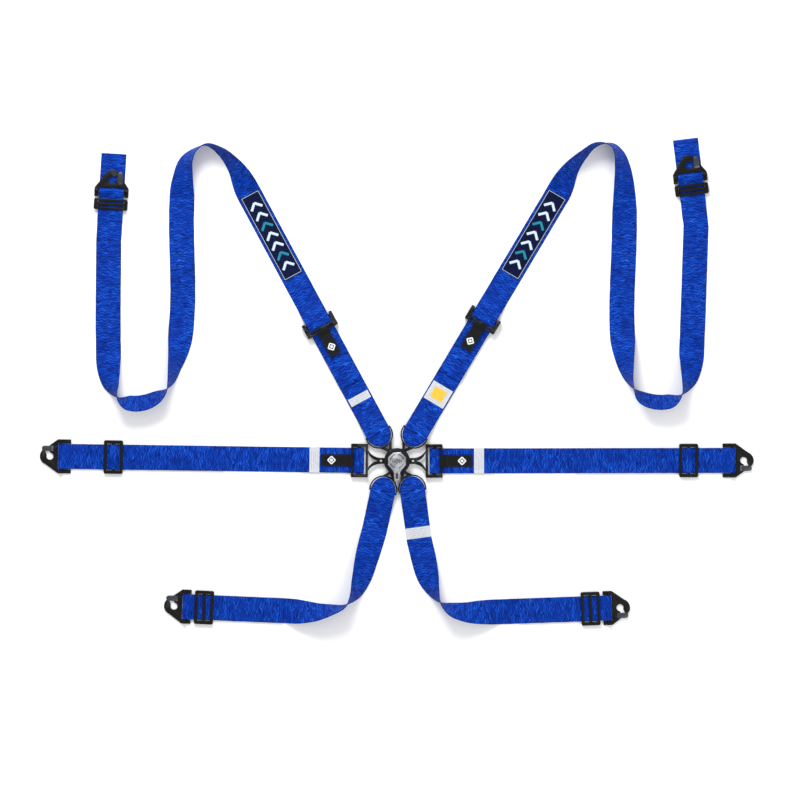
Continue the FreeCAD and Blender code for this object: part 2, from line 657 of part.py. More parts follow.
def grip_frame(centre):
    """Shoulder adjuster: cheeks, the rear bar for the lower belt, the toothed grip bar and the tab's bar."""
    u0 = centre - 17
    reach = INNER_V
    rear = rod(CROSSBAR_R, centre - REAR_BAR_BACK, LAYER_Z[0] + REAR_FOLD_R, -reach, reach)
    tab_bar = rod(CROSSBAR_R, centre - TAB_BAR_BACK, GRIP_TAB_Z, -reach, reach)
    teeth = prism(outline([(centre - 11, -reach), (centre - 11, reach)] + tooth_points(centre - 7, reach)),
                  GRIP_BAR_Z, GRIP_BAR_Z + GRIP_BAR_THICK)
    slot = bar_slot(centre + 1, SLIDING_TOP_Z - ADJUSTER_BAR[1])
    top = GRIP_TAB_Z + CROSSBAR_R + 0.3
    sides = [side.cut(slot) for side in cheeks(u0, u0 + GRIP_FRAME_LENGTH, 1.0, top)]
    return fuse(sides + [rear, tab_bar, teeth])


def tooth_points(u, reach):
    """Zigzag edge from +reach back to -reach."""
    count = 14
    step = 2 * reach / count
    points = [(u, reach)]
    for n in range(count):
        points.append((u + 1.6, reach - step * (n + 0.5)))
        points.append((u, reach - step * (n + 1)))
    return points


# ---------------------------------------------------------------- webbing profiles
def hook_turn(bar_u, low_z, landing_z, landing_u):
    """Round the hook's bar from the lower layer up and back down to the layer above it."""
    top = low_z + 2 * HOOK_FOLD_R
    return (fold(bar_u, low_z + HOOK_FOLD_R, HOOK_FOLD_R, -90, 90)
            + [(bar_u - 5, top - 0.6), (landing_u, landing_z)])


def lap_profile(belt):
    start = frame_start(belt)
    hump_r = (HUMP_Z - LAYER_Z[0]) / 2
    inner = [(belt["tail_in"], LAYER_Z[1]), (start + 30, LAYER_Z[1]), (start + 24, HUMP_Z)]
    round_bar = fold(start + 12, LAYER_Z[0] + hump_r, hump_r, 90, 270)
    outer = hook_turn(belt["bar"], LAYER_Z[0], LAYER_Z[1], belt["bar"] - 19)
    return inner + round_bar + outer + [(belt["tail_out"], LAYER_Z[1])]


def tongue_turn():
    """Sewn tail, round the tongue's bar and down to the second layer."""
    bar_u = TONGUE_BAR
    low = TONGUE_MID_Z - TONGUE_FOLD_R
    high = TONGUE_MID_Z + TONGUE_FOLD_R
    return ([(bar_u + SEWN_TAIL, LAYER_Z[0]), (bar_u + SEWN_TAIL - 10, LAYER_Z[0]), (bar_u + 8, low - 0.1)]
            + fold(bar_u, TONGUE_MID_Z, TONGUE_FOLD_R, 270, 90)
            + [(bar_u + 10, high - 0.8), (bar_u + SEWN_TAIL - 6, LAYER_Z[1])])


def lower_shoulder_profile(belt):
    rear = belt["adjuster"] - REAR_BAR_BACK
    return (tongue_turn() + [(rear - 18, LAYER_Z[1])]
            + fold(rear, LAYER_Z[0] + REAR_FOLD_R, REAR_FOLD_R, 90, -90)
            + [(rear - 60, LAYER_Z[0])])


def upper_shoulder_profile(belt):
    middle = belt["adjuster"]
    end = belt["tail"] + PITCH / 2
    run_z = LAYER_Z[2]
    return ([(end + 24, run_z + PITCH)] + fold(end, run_z + PITCH / 2, PITCH / 2, 90, 270)
            + [(middle - 30, run_z), (middle - 12, GRIP_DIP_Z), (middle - 5.5, GRIP_DIP_Z),
               (middle - 2.5, GRIP_HUMP_Z), (middle + 10, GRIP_HUMP_Z), (middle + 16, GRIP_HUMP_Z - 2),
               (middle + 50, LAYER_Z[0]), (middle + 62, LAYER_Z[0])])


def shoulder_end_profile():
    bar_u = SHOULDER_HOOK_BAR
    rising = [(30, LAYER_Z[0]), (48, LAYER_Z[2]), (85, LAYER_Z[2]),
              (bar_u - 5, LAYER_Z[1] + 2 * HOOK_FOLD_R - 0.6)]
    return (rising + fold(bar_u, LAYER_Z[1] + HOOK_FOLD_R, HOOK_FOLD_R, 90, -90)
            + fold(SHOULDER_FOLD, LAYER_Z[0] + PITCH / 2, PITCH / 2, 90, 270)
            + [(SHOULDER_TAIL, LAYER_Z[0])])


# ---------------------------------------------------------------- belts
def build_lap(side):
    belt = LAP[side]
    name = "lap_" + side
    lay = Lay(0, 0, belt["heading"])
    start = frame_start(belt)
    save(lay.place(lap_tongue(start, side == "left")), name + "_tongue")
    save(strip(profile_stations(lay, lap_profile(belt), lay.left)), name + "_webbing")
    save(lay.place(adjuster_bar(start + BAR_INSET, ADJUSTER_BAR_Z)), name + "_adjuster_bar")
    axis_u = start + ADJUSTER_LENGTH - CROSSBAR_R
    tab_length = belt["label"] - TAB_TO_LABEL - axis_u
    save(lay.place(pull_tab(axis_u, TAB_AXIS_Z, tab_length, True)), name + "_pull_tab")
    top = LAYER_Z[1] + WEB_THICK / 2
    label = box(belt["label"], belt["label"] + LAP_LABEL_LENGTH, -HALF_WEB, HALF_WEB, top, top + LABEL_THICK)
    save(lay.place(label), name + "_label")
    save_slider(lay, belt["slider"], SLIDER_LENGTH, 2, name)
    save_hook(lay, belt["bar"], LAYER_Z[0], LAP_EAR, name)


def build_shoulder(side):
    belt = SHOULDER[side]
    name = "shoulder_" + side
    lay = loop_lay(belt)
    across = lay.left * belt["hand"]
    middle = belt["adjuster"]
    save(hoop_tongue(lay, belt), name + "_tongue")
    save(strip(profile_stations(lay, lower_shoulder_profile(belt), lay.left)), name + "_lower_webbing")
    end = end_lay(belt)
    stations = profile_stations(lay, upper_shoulder_profile(belt), across)
    stations += route_stations(belt["route"], belt["hand"])
    stations += profile_stations(end, shoulder_end_profile(), end.left * -belt["hand"])
    save(strip(stations), name + "_upper_webbing")
    save(lay.place(grip_frame(middle)), name + "_adjuster_frame")
    save(lay.place(adjuster_bar(middle + 1, SLIDING_TOP_Z - ADJUSTER_BAR[1])), name + "_adjuster_bar")
    save(lay.place(pull_tab(middle - TAB_BAR_BACK, GRIP_TAB_Z, GRIP_TAB_LENGTH, False)), name + "_pull_tab")
    label_z = LAYER_Z[1] + WEB_THICK / 2
    u0, u1, width = belt["label"]
    save(lay.place(box(u0, u1, -width / 2, width / 2, label_z, label_z + LABEL_THICK)), name + "_label")
    u0, u1 = (straight_run(belt) - back for back in belt["patch"])
    half = PATCH_WIDTH / 2
    save(lay.place(box(u0, u1, -half, half, WEB_THICK, WEB_THICK + PATCH_THICK)), name + "_patch")
    save_slider(end, SHOULDER_SLIDER, SHORT_SLIDER_LENGTH, 3, name)
    save_hook(end, SHOULDER_HOOK_BAR, LAYER_Z[1], SHORT_EAR, name)


def build_crotch(side):
    belt = CROTCH[side]
    name = "crotch_" + side
    lay = loop_lay(belt)
    end = end_lay(belt)
    across = lay.left * belt["hand"]
    save(hoop_tongue(lay, belt), name + "_tongue")
    tail = TONGUE_BAR + SEWN_TAIL
    start = tongue_turn() + [(tail + 2, LAYER_Z[1]), (tail + TAIL_STEP, LAYER_Z[0])]
    finish = hook_turn(belt["bar"], LAYER_Z[0], LAYER_Z[1], belt["bar"] - 17) + [(belt["tail"], LAYER_Z[1])]
    stations = profile_stations(lay, start, across)
    stations += route_stations(belt["route"], belt["hand"])
    stations += profile_stations(end, finish, end.left * -belt["hand"])
    save(strip(stations), name + "_webbing")
    save_slider(end, belt["slider"], SLIDER_LENGTH, 2, name)
    save_hook(end, belt["bar"], LAYER_Z[0], SHORT_EAR, name)
    if side == "right":
        u0, u1 = (straight_run(belt) - back for back in CROTCH_LABEL)
        label = box(u0, u1, -HALF_WEB, HALF_WEB, WEB_THICK, WEB_THICK + LABEL_THICK)
        save(lay.place(label), name + "_label")


os.makedirs("parts", exist_ok=True)
build_buckle()
for side in ("left", "right"):
    build_lap(side)
    build_shoulder(side)
    build_crotch(side)
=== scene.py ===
import json
import math
from math import atan2, cos, degrees, hypot, pi, radians, sin

import bmesh
import bpy
from mathutils import Matrix, Vector, noise


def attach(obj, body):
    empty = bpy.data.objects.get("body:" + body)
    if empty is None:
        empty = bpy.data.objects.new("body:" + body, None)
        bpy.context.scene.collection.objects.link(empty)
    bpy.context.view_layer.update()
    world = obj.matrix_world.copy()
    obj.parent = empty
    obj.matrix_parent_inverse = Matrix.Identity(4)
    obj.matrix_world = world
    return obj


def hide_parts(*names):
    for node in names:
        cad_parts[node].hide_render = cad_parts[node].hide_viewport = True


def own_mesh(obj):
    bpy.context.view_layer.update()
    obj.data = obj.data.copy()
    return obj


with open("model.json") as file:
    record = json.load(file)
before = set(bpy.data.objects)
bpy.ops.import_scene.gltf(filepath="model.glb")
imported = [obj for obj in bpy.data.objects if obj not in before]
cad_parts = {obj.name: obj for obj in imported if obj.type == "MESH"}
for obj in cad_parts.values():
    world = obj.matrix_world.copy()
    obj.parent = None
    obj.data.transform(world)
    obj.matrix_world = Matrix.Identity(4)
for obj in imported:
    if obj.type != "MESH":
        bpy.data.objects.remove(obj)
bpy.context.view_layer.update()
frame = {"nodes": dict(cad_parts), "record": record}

# Racing harness laid flat. Routes and sizes are in millimetres, and MM turns them to metres in the mesh.
MM = 0.001

# ---------------------------------------------------------------- sizes that the pieces share
WEB_WIDTH = 50.0
WEB_THICK = 1.8
LAYER_GAP = 0.3
PITCH = WEB_THICK + LAYER_GAP
HALF_WEB = WEB_WIDTH / 2
LAYER_Z = [WEB_THICK / 2 + PITCH * n for n in range(3)]
ROUTE_STEP = 4.0              # spacing of the rows of the webbing's mesh
ACROSS_STEPS = 14             # columns of the webbing's mesh
ARC_STEPS = 16
HOOK_FOLD_R = 4.3             # middle of the webbing round a hook's bar
REAR_FOLD_R = 3.3             # round an adjuster frame's rear bar
TONGUE_FOLD_R = 3.56          # round a tongue's bar
TONGUE_MID_Z = 7.75
TONGUE_BAR = 4.0
SEWN_TAIL = 52.0
HUMP_Z = 7.0
GRIP_DIP_Z = 9.6
GRIP_HUMP_Z = 11.4
BAR_THICK = 3.0
REAR_BAR_BACK = 9.0           # a shoulder adjuster's rear bar and tab bar, back from its middle
TAB_BAR_BACK = 15.0
LAP_TAB_BAR = 32.0            # a lap adjuster's tab bar, out from the start of its frame
TAIL_STEP = 10.0              # length over which a belt comes down past the end of its tail
LAP_LABEL_LENGTH = 20.0
CROTCH_LABEL = (26.0, 4.0)    # distances of its ends before the route's first bend
TAB_TO_LABEL = 3.0
GRIP_TAB_LENGTH = 55.0
LABEL_THICK = 0.4
PATCH_WIDTH = 40.0
PATCH_THICK = 0.8
TAPE_THICK = 0.6              # a pull tab is folded tape, 24 mm wide
TAPE_WIDTH = 24.0
TAPE_FOLD_R = 3.1             # middle of the tape round its crossbar
TAB_EYE_R = 3.4

LAP = {
    "left": {"heading": 179.2, "frame": 58.0, "tail_in": 190.0, "bar": 672.0, "tail_out": 346.0,
             "slider": 567.0, "label": 155.0},
    "right": {"heading": 0.1, "frame": 57.0, "tail_in": 194.0, "bar": 671.0, "tail_out": 356.0,
              "slider": 583.0, "label": 154.0},
}
# Each route lists where the belt's middle passes and its roll there, in the order it leaves the buckle.
SHOULDER = {
    "left": {"hand": 1, "loop": (-36.0, 53.0), "adjuster": 250.7, "tail": 116.5,
             "label": (74.0, 90.0, 44.0), "patch": (188.0, 2.0), "end_heading": 86.5,
             "route": [(-296, 535, 0), (-326, 591, 53), (-351, 617, 72), (-382, 631, 90), (-404, 620, 103),
                       (-420, 600, 125), (-428, 562, 150), (-430.4, 512, 180), (-430.4, 282, 180),
                       (-437, 216, 220), (-443.4, 188, 240), (-451, 158, 258), (-459, 143, 275),
                       (-480, 127, 302), (-508, 116, 310), (-534, 116, 307), (-556, 126, 272),
                       (-570, 152, 227), (-576, 184, 200), (-577, 222, 180), (-576.6, 440, 180)]},
    "right": {"hand": -1, "loop": (35.0, 53.0), "adjuster": 268.8, "tail": 137.0,
              "label": (73.0, 113.0, 45.0), "patch": (189.0, 2.0), "end_heading": 97.0,
              "route": [(322, 535, 0), (351, 588, 53), (372, 611, 70), (395, 630, 82), (413, 634, 92),
                        (432, 629, 104), (444, 612, 118), (450, 588, 131), (453.5, 552, 147),
                        (454.8, 512, 163), (454.6, 462, 180), (450.4, 262, 180), (453, 218, 213),
                        (457, 188, 234), (463.6, 162, 255), (472, 145, 272), (489, 127, 300),
                        (516, 118, 307), (542, 119, 305), (567, 132, 270), (583, 162, 228),
                        (588, 192, 203), (589.5, 226, 180), (598, 470, 180)]},
}
CROTCH = {
    "left": {"hand": 1, "loop": (-27.5, -57.0), "end_heading": 177.6,
             "route": [(-45, -138, 0), (-60, -192, 20), (-72, -238, 42), (-84, -268, 66), (-102, -288, 92),
                       (-134, -297, 115), (-162, -301, 135), (-190, -301, 156), (-222, -299.5, 180)],
             "bar": 202.0, "slider": 164.0, "tail": 6.0},
    "right": {"hand": -1, "loop": (30.5, -55.0), "end_heading": 2.0,
              "route": [(44.5, -158, 0), (54, -198, 8), (62, -232, 30), (70.5, -256, 55), (86, -282, 88),
                        (111, -296, 122), (138, -301.5, 140), (170, -302, 160), (205, -301.5, 180)],
              "bar": 219.0, "slider": 182.0, "tail": 37.0},
}
SHOULDER_HOOK_BAR = 100.0
SHOULDER_FOLD = 60.0
SHOULDER_TAIL = 175.0
TOP_1 = WEB_THICK                          # top of the first layer of webbing, and of the second
TOP_2 = LAYER_Z[1] + WEB_THICK / 2
LAP_AXIS_Z = 7.7                           # heights of the crossbars that the tabs are folded round
GRIP_AXIS_Z = 14.0
BODY_OF = {n: body for body, nodes in frame["record"]["behaviour"]["bodies"].items() for n in nodes}
SLOT_OF = {part["node"]: part["material_slot"] for part in frame["record"]["subparts"]}


# ---------------------------------------------------------------- materials
def srgb(code):
    """Hex colour to linear RGBA."""
    parts = [int(code[n:n + 2], 16) / 255 for n in (1, 3, 5)]
    linear = [c / 12.92 if c <= 0.04045 else ((c + 0.055) / 1.055) ** 2.4 for c in parts]
    return (*linear, 1.0)


def add(tree, kind, settings=None, **links):
    """Adds a node with its settings, and links or sets its inputs by name."""
    node = tree.nodes.new("ShaderNode" + kind)
    for key, value in (settings or {}).items():
        setattr(node, key, value)
    for key, value in links.items():
        socket = node.inputs[int(key[1:])] if key[0] == "_" else node.inputs[key.replace("_", " ")]
        if isinstance(value, bpy.types.NodeSocket):
            tree.links.new(value, socket)
        else:
            socket.default_value = value
    return node


def new_material(name, **surface):
    """A material and its tree, with a Principled shader whose constants sit on its own sockets."""
    made = bpy.data.materials.new(name)
    made.use_nodes = True
    tree = made.node_tree
    shader = tree.nodes["Principled BSDF"]
    for key, value in surface.items():
        shader.inputs[key.replace("_", " ")].default_value = value
    return made, tree, shader


def calc(tree, operation, a, b=0.0, c=0.0):
    return add(tree, "Math", {"operation": operation}, _0=a, _1=b, _2=c).outputs[0]


def ramp(tree, factor, stops):
    node = add(tree, "ValToRGB", None, Fac=factor)
    elements = node.color_ramp.elements
    for n, (place, code) in enumerate(stops):
        element = elements[n] if n < len(elements) else elements.new(place)
        element.position = place
        element.color = srgb(code)
    return node.outputs[0]


def mix(tree, factor, first, second):
    node = add(tree, "Mix", {"data_type": "RGBA"}, _0=factor, _6=first, _7=second)
    return node.outputs[2]


def lay_coordinates(tree):
    """Distances along and across a strip of cloth, in metres."""
    uv = add(tree, "UVMap", {"uv_map": "lay"})
    split = add(tree, "SeparateXYZ", None, Vector=uv.outputs[0])
    return uv.outputs[0], split.outputs[0], split.outputs[1]


def bump(tree, shader, height, distance, strength=1.0):
    node = add(tree, "Bump", None, Height=height, Distance=distance, Strength=strength)
    tree.links.new(node.outputs[0], shader.inputs["Normal"])


def woven_polyester():
    """Twill webbing: a herringbone of bright filament yarn, with fine crinkles that tension leaves; the
    crinkles also lighten and darken the colour as painted highlight and shade.
    """
    made, tree, shader = new_material("woven_polyester_webbing", Roughness=0.55, IOR=1.53,
                                      Specular_IOR_Level=0.05)
    uv, along, across = lay_coordinates(tree)
    # Five panels of twill, 10 mm wide. A real yarn is 1 mm; it is drawn at 3 mm so that it shows.
    panel = calc(tree, "PINGPONG", calc(tree, "ADD", across, 0.025), 0.005)
    slanted = calc(tree, "ADD", along, panel)
    twill = calc(tree, "SINE", calc(tree, "MULTIPLY", slanted, 2 * pi / 0.003))
    # Crinkles lie across the strap, about 6 mm apart and three times as wide. They shape the bump, and in the
    # colour they are painted highlight and shade.
    stretched = add(tree, "Mapping", None, Vector=uv, Scale=(165.0, 60.0, 1.0))
    crinkle_relief_and_shade = add(tree, "TexNoise", None, Vector=stretched.outputs[0], Scale=1.0, Detail=3.0, Roughness=0.62,
                  Distortion=0.6).outputs[0]
    broad = add(tree, "TexNoise", None, Vector=uv, Scale=22.0, Detail=2.0).outputs[0]
    # Short zigzag ripples, 5.5 mm apart, that come and go along the strap.
    bent = calc(tree, "MULTIPLY", calc(tree, "PINGPONG", calc(tree, "ADD", across, 0.025), 0.006), 0.45)
    wander = add(tree, "TexNoise", None, Vector=uv, Scale=70.0, Detail=1.0).outputs[0]
    drift = calc(tree, "MULTIPLY", wander, 0.014)
    phase = calc(tree, "ADD", calc(tree, "ADD", along, bent), drift)
    ripple = calc(tree, "SINE", calc(tree, "MULTIPLY", phase, 2 * pi / 0.0055))
    lively = calc(tree, "MULTIPLY", ripple, calc(tree, "MULTIPLY", broad, 0.2))
    # Colour tone: mostly the crinkles as painted highlight and shade, with a little random tone from the
    # broad noise.
    tone = calc(tree, "ADD", calc(tree, "MULTIPLY", crinkle_relief_and_shade, 0.8), calc(tree, "MULTIPLY", broad, 0.2))
    yarn = calc(tree, "ADD", calc(tree, "MULTIPLY", twill, 0.03), lively)
    blues = [(0.30, "#011A5E"), (0.45, "#022985"), (0.58, "#05389F"), (0.74, "#1A56C6")]
    colour = ramp(tree, calc(tree, "ADD", tone, yarn), blues)
    # The selvage is tighter and darker over the last 1.2 mm.
    rim = calc(tree, "GREATER_THAN", calc(tree, "ABSOLUTE", across), 0.0238)
    edged = mix(tree, calc(tree, "MULTIPLY", rim, 0.55), colour, srgb("#041C56"))
    tree.links.new(edged, shader.inputs["Base Color"])
    height = calc(tree, "ADD", calc(tree, "ADD", crinkle_relief_and_shade, calc(tree, "MULTIPLY", twill, 0.12)), lively)
    bump(tree, shader, height, 0.0012, 0.85)
    return made


def black_tape():
    """Folded black binding tape with a fine cross rib, 1.5 mm apart."""
    made, tree, shader = new_material("black_binding_tape", Roughness=0.75, IOR=1.5, Specular_IOR_Level=0.2)
    uv, along, _ = lay_coordinates(tree)
    rib = calc(tree, "SINE", calc(tree, "MULTIPLY", along, 2 * pi / 0.0015))
    fuzz = add(tree, "TexNoise", None, Vector=uv, Scale=600.0, Detail=3.0).outputs[0]
    tree.links.new(ramp(tree, fuzz, [(0.3, "#050506"), (0.75, "#101013")]), shader.inputs["Base Color"])
    bump(tree, shader, calc(tree, "ADD", rib, fuzz), 0.0002, 0.7)
    return made


def label_cloth(name, ground, lines):
    """Woven satin label; faint thread bars stand where the real one carries its data."""
    made, tree, shader = new_material(name, Roughness=0.6, IOR=1.5)
    uv, along, across = lay_coordinates(tree)
    grain = add(tree, "TexNoise", None, Vector=uv, Scale=420.0, Detail=2.0).outputs[0]
    cloth = ramp(tree, grain, [(0.3, ground[0]), (0.8, ground[1])])
    if lines:
        # Bars 1 mm wide every 4 mm, within 17 mm of the strap's middle.
        bars = calc(tree, "LESS_THAN", calc(tree, "PINGPONG", along, 0.002), 0.0005)
        inside = calc(tree, "LESS_THAN", calc(tree, "ABSOLUTE", across), 0.017)
        gaps = add(tree, "TexNoise", None, Vector=uv, Scale=130.0).outputs[0]
        faint = calc(tree, "MULTIPLY", calc(tree, "GREATER_THAN", gaps, 0.45), 0.5)
        ink = calc(tree, "MULTIPLY", calc(tree, "MULTIPLY", bars, inside), faint)
        cloth = mix(tree, ink, cloth, srgb("#6E7684"))
    tree.links.new(cloth, shader.inputs["Base Color"])
    weave = calc(tree, "SINE", calc(tree, "MULTIPLY", across, 2 * pi / 0.0009))
    bump(tree, shader, calc(tree, "ADD", weave, grain), 0.00012, 0.6)
    return made


def embroidered(name, dark, light):
    """Satin-stitch embroidery: parallel threads 0.8 mm apart with a soft shine."""
    made, tree, shader = new_material(name, Roughness=0.5, IOR=1.5, Specular_IOR_Level=0.1)
    uv, along, across = lay_coordinates(tree)
    thread = calc(tree, "SINE", calc(tree, "MULTIPLY", calc(tree, "ADD", along, across), 2 * pi / 0.0008))
    cloud = add(tree, "TexNoise", None, Vector=uv, Scale=260.0, Detail=3.0).outputs[0]
    tree.links.new(ramp(tree, cloud, [(0.3, dark), (0.72, light)]), shader.inputs["Base Color"])
    bump(tree, shader, calc(tree, "ADD", thread, cloud), 0.00025, 0.8)
    return made


def metal_finish(name, dark, light, worn, metallic, rough, grit_mm, relief_mm, **surface):
    """Finish over metal: fine grit in the coat, and edges rubbed to the lighter tone beneath."""
    made, tree, shader = new_material(name, Metallic=metallic, **surface)
    place = add(tree, "TexCoord").outputs["Object"]
    grit = add(tree, "TexNoise", None, Vector=place, Scale=1000.0 / grit_mm, Detail=3.0).outputs[0]
    stain = add(tree, "TexNoise", None, Vector=place, Scale=60.0, Detail=4.0).outputs[0]
    coat = ramp(tree, calc(tree, "MULTIPLY_ADD", grit, 0.5, 0.5), [(0.25, dark), (0.8, light)])
    edge = add(tree, "NewGeometry").outputs["Pointiness"]
    on_edges = calc(tree, "GREATER_THAN", edge, 0.56)
    rubbed = calc(tree, "MULTIPLY", on_edges, calc(tree, "GREATER_THAN", stain, 0.5))
    tone = mix(tree, calc(tree, "MULTIPLY", rubbed, 0.6), coat, srgb(worn))
    tree.links.new(tone, shader.inputs["Base Color"])
    tree.links.new(calc(tree, "MULTIPLY_ADD", stain, 0.18, rough - 0.09), shader.inputs["Roughness"])
    bump(tree, shader, grit, relief_mm * MM, 0.5)
    return made


def brushed_alloy():
    """Machined and brushed aluminium: circular strokes about 0.5 mm apart on a bright, uneven face."""
    made, tree, shader = new_material("brushed_aluminium", Metallic=1.0, Roughness=0.3)
    place = add(tree, "TexCoord").outputs["Object"]
    split = add(tree, "SeparateXYZ", None, Vector=place)
    reach = calc(tree, "SQRT", calc(tree, "ADD", calc(tree, "POWER", split.outputs[0], 2.0),
                                    calc(tree, "POWER", split.outputs[1], 2.0)))
    wobble = add(tree, "TexNoise", None, Vector=place, Scale=900.0, Detail=4.0).outputs[0]
    stroke = calc(tree, "SINE", calc(tree, "ADD", calc(tree, "MULTIPLY", reach, 2 * pi / 0.0005),
                                     calc(tree, "MULTIPLY", wobble, 6.0)))
    patchy = add(tree, "TexNoise", None, Vector=place, Scale=170.0, Detail=3.0).outputs[0]
    tree.links.new(ramp(tree, patchy, [(0.3, "#8E9096"), (0.7, "#BCBEC3")]), shader.inputs["Base Color"])
    bump(tree, shader, calc(tree, "ADD", stroke, wobble), 0.00006, 0.5)
    return made


MATERIALS = {
    "webbing": woven_polyester(),
    "pull_tab": black_tape(),
    "label": label_cloth("white_satin_label", ("#B2B6BC", "#D0D3D7"), True),
    "gold_label": label_cloth("gold_satin_label", ("#CFA216", "#EDC83A"), False),
    "patch": embroidered("navy_embroidery", "#050A22", "#0E1B4C"),
    "patch_pale": embroidered("pale_embroidery", "#9FB2C4", "#D6E2EA"),
    "patch_teal": embroidered("teal_embroidery", "#0E5E74", "#2A8CA4"),
    "thread": embroidered("blue_bonded_thread", "#061E66", "#1440A0"),
    "white_thread": embroidered("white_bonded_thread", "#C4C8CC", "#F0F0EE"),
    "black_steel": metal_finish("black_coated_steel", "#030304", "#0C0C0E", "#303136", 0.0, 0.36, 0.6, 0.05,
                                IOR=1.5, Specular_IOR_Level=0.16),
    "hook_steel": metal_finish("black_forged_steel", "#030303", "#0B0B0D", "#2C2D31", 0.0, 0.42, 0.9, 0.08,
                               IOR=1.5, Specular_IOR_Level=0.16),
    "housing": metal_finish("black_anodised_aluminium", "#040405", "#0E0E11", "#3A3B40", 0.0, 0.42, 0.5, 0.05,
                            IOR=1.5, Specular_IOR_Level=0.2),
    "plated_steel": metal_finish("zinc_plated_steel", "#8B8D92", "#B9BBC0", "#D8DADE", 1.0, 0.3, 0.8, 0.03),
    "spring_steel": metal_finish("blued_spring_steel", "#2A2C30", "#4A4D54", "#84868C", 1.0, 0.32, 0.8, 0.03),
    "knob_alloy": brushed_alloy(),
    # Dark fill for the knob's paint and the tab stitches, and painted shade for the lever's groove.
    "dark_fill": metal_finish("dark_paint_and_shade_fill", "#101114", "#26282C", "#2A2C30", 0.0, 0.5, 0.5, 0.03,
                              IOR=1.5),
}


# ---------------------------------------------------------------- the way each strip of webbing lies
class Lay:
    """A line on the floor from a start and heading, with distances along it, to its left and upward."""

    def __init__(self, x, y, heading):
        turn = radians(heading)
        self.origin = Vector((x, y, 0.0))
        self.along = Vector((cos(turn), sin(turn), 0.0))
        self.left = Vector((-sin(turn), cos(turn), 0.0))

    def point(self, u, z):
        return self.origin + self.along * u + Vector((0, 0, z))

    def matrix(self):
        """Millimetres in this lay to metres in the world."""
        turned = Matrix((self.along, self.left, Vector((0, 0, 1)))).transposed().to_4x4()
        return Matrix.Scale(MM, 4) @ Matrix.Translation(self.origin) @ turned


def aimed(start, end):
    return Lay(*start, degrees(atan2(end[1] - start[1], end[0] - start[0])))


def fold(u, z, radius, start, end):
    """Points round a bar at (u, z), between two angles in degrees."""
    angles = [radians(start + (end - start) * n / ARC_STEPS) for n in range(ARC_STEPS + 1)]
    return [(u + radius * cos(a), z + radius * sin(a)) for a in angles]


def filled(points):
    """Adds points to the long straight parts of a line, one every ROUTE_STEP."""
    out = [points[0]]
    for a, b in zip(points, points[1:]):
        length = math.dist(a, b)
        count = max(1, round(length / ROUTE_STEP))
        out += [tuple(p + (q - p) * n / count for p, q in zip(a, b)) for n in range(1, count + 1)]
    return out


def profile_rows(lay, profile, width_dir):
    return [(lay.point(u, z), width_dir) for u, z in profile]


def monotone_slopes(knots, values):
    """Slopes for a smooth curve through the values that never overshoots them."""
    steps = [(b - a) / (t - s) for a, b, s, t in zip(values, values[1:], knots, knots[1:])]
    slopes = [steps[0]]
    for before, after in zip(steps, steps[1:]):
        same_way = before * after > 0
        slopes.append(2 * before * after / (before + after) if same_way else 0.0)
    return slopes + [steps[-1]]


def chord_slopes(knots, values):
    """Slopes of a smooth curve through evenly treated points, straight where its runs are straight."""
    steps = [(b - a) / (t - s) for a, b, s, t in zip(values, values[1:], knots, knots[1:])]
    spans = [t - s for s, t in zip(knots, knots[1:])]
    slopes = [steps[0]]
    for n in range(len(steps) - 1):
        slopes.append((steps[n] * spans[n + 1] + steps[n + 1] * spans[n]) / (spans[n] + spans[n + 1]))
    return slopes + [steps[-1]]


def hermite(knots, values, slopes, n, t):
    span = knots[n + 1] - knots[n]
    s = (t - knots[n]) / span
    start = values[n] * (1 + 2 * s) * (1 - s) ** 2 + slopes[n] * span * s * (1 - s) ** 2
    end = values[n + 1] * s * s * (3 - 2 * s) + slopes[n + 1] * span * s * s * (s - 1)
    return start + end


class Route:
    """A smooth path on the floor through (x, y, roll) points."""

    def __init__(self, points):
        self.knots = [0.0]
        for (x0, y0, _), (x1, y1, _) in zip(points, points[1:]):
            self.knots.append(self.knots[-1] + hypot(x1 - x0, y1 - y0))
        self.xs, self.ys, self.rolls = ([p[n] for p in points] for n in range(3))
        self.x_slopes = chord_slopes(self.knots, self.xs)
        self.y_slopes = chord_slopes(self.knots, self.ys)
        self.roll_slopes = monotone_slopes(self.knots, self.rolls)

    def centre(self, run, t):
        x = hermite(self.knots, self.xs, self.x_slopes, run, t)
        y = hermite(self.knots, self.ys, self.y_slopes, run, t)
        return Vector((x, y, 0.0))

    def row(self, run, t, hand):
        """Middle and width direction of the webbing at a distance along one run of the path."""
        centre = self.centre(run, t)
        nudge = 0.01 if t < self.knots[-1] else -0.01
        ahead = ((self.centre(run, t + nudge) - centre) / nudge).normalized()
        up = Vector((0, 0, 1))
        side = up.cross(ahead) * hand
        roll = radians(hermite(self.knots, self.rolls, self.roll_slopes, run, t))
        height = HALF_WEB * abs(sin(roll)) + WEB_THICK / 2 * abs(cos(roll))
        return centre + up * height, side * cos(roll) - up * sin(roll)


def route_rows(points, hand):
    """Webbing twisting along a route on the floor: one edge stays down and the other rises."""
    route = Route(points)
    rows = []
    for run in range(len(points) - 1):
        span = route.knots[run + 1] - route.knots[run]
        count = max(1, round(span / ROUTE_STEP))
        rows += [route.row(run, route.knots[run] + span * step / count, hand) for step in range(count)]
    return rows + [route.row(len(points) - 2, route.knots[-1], hand)]


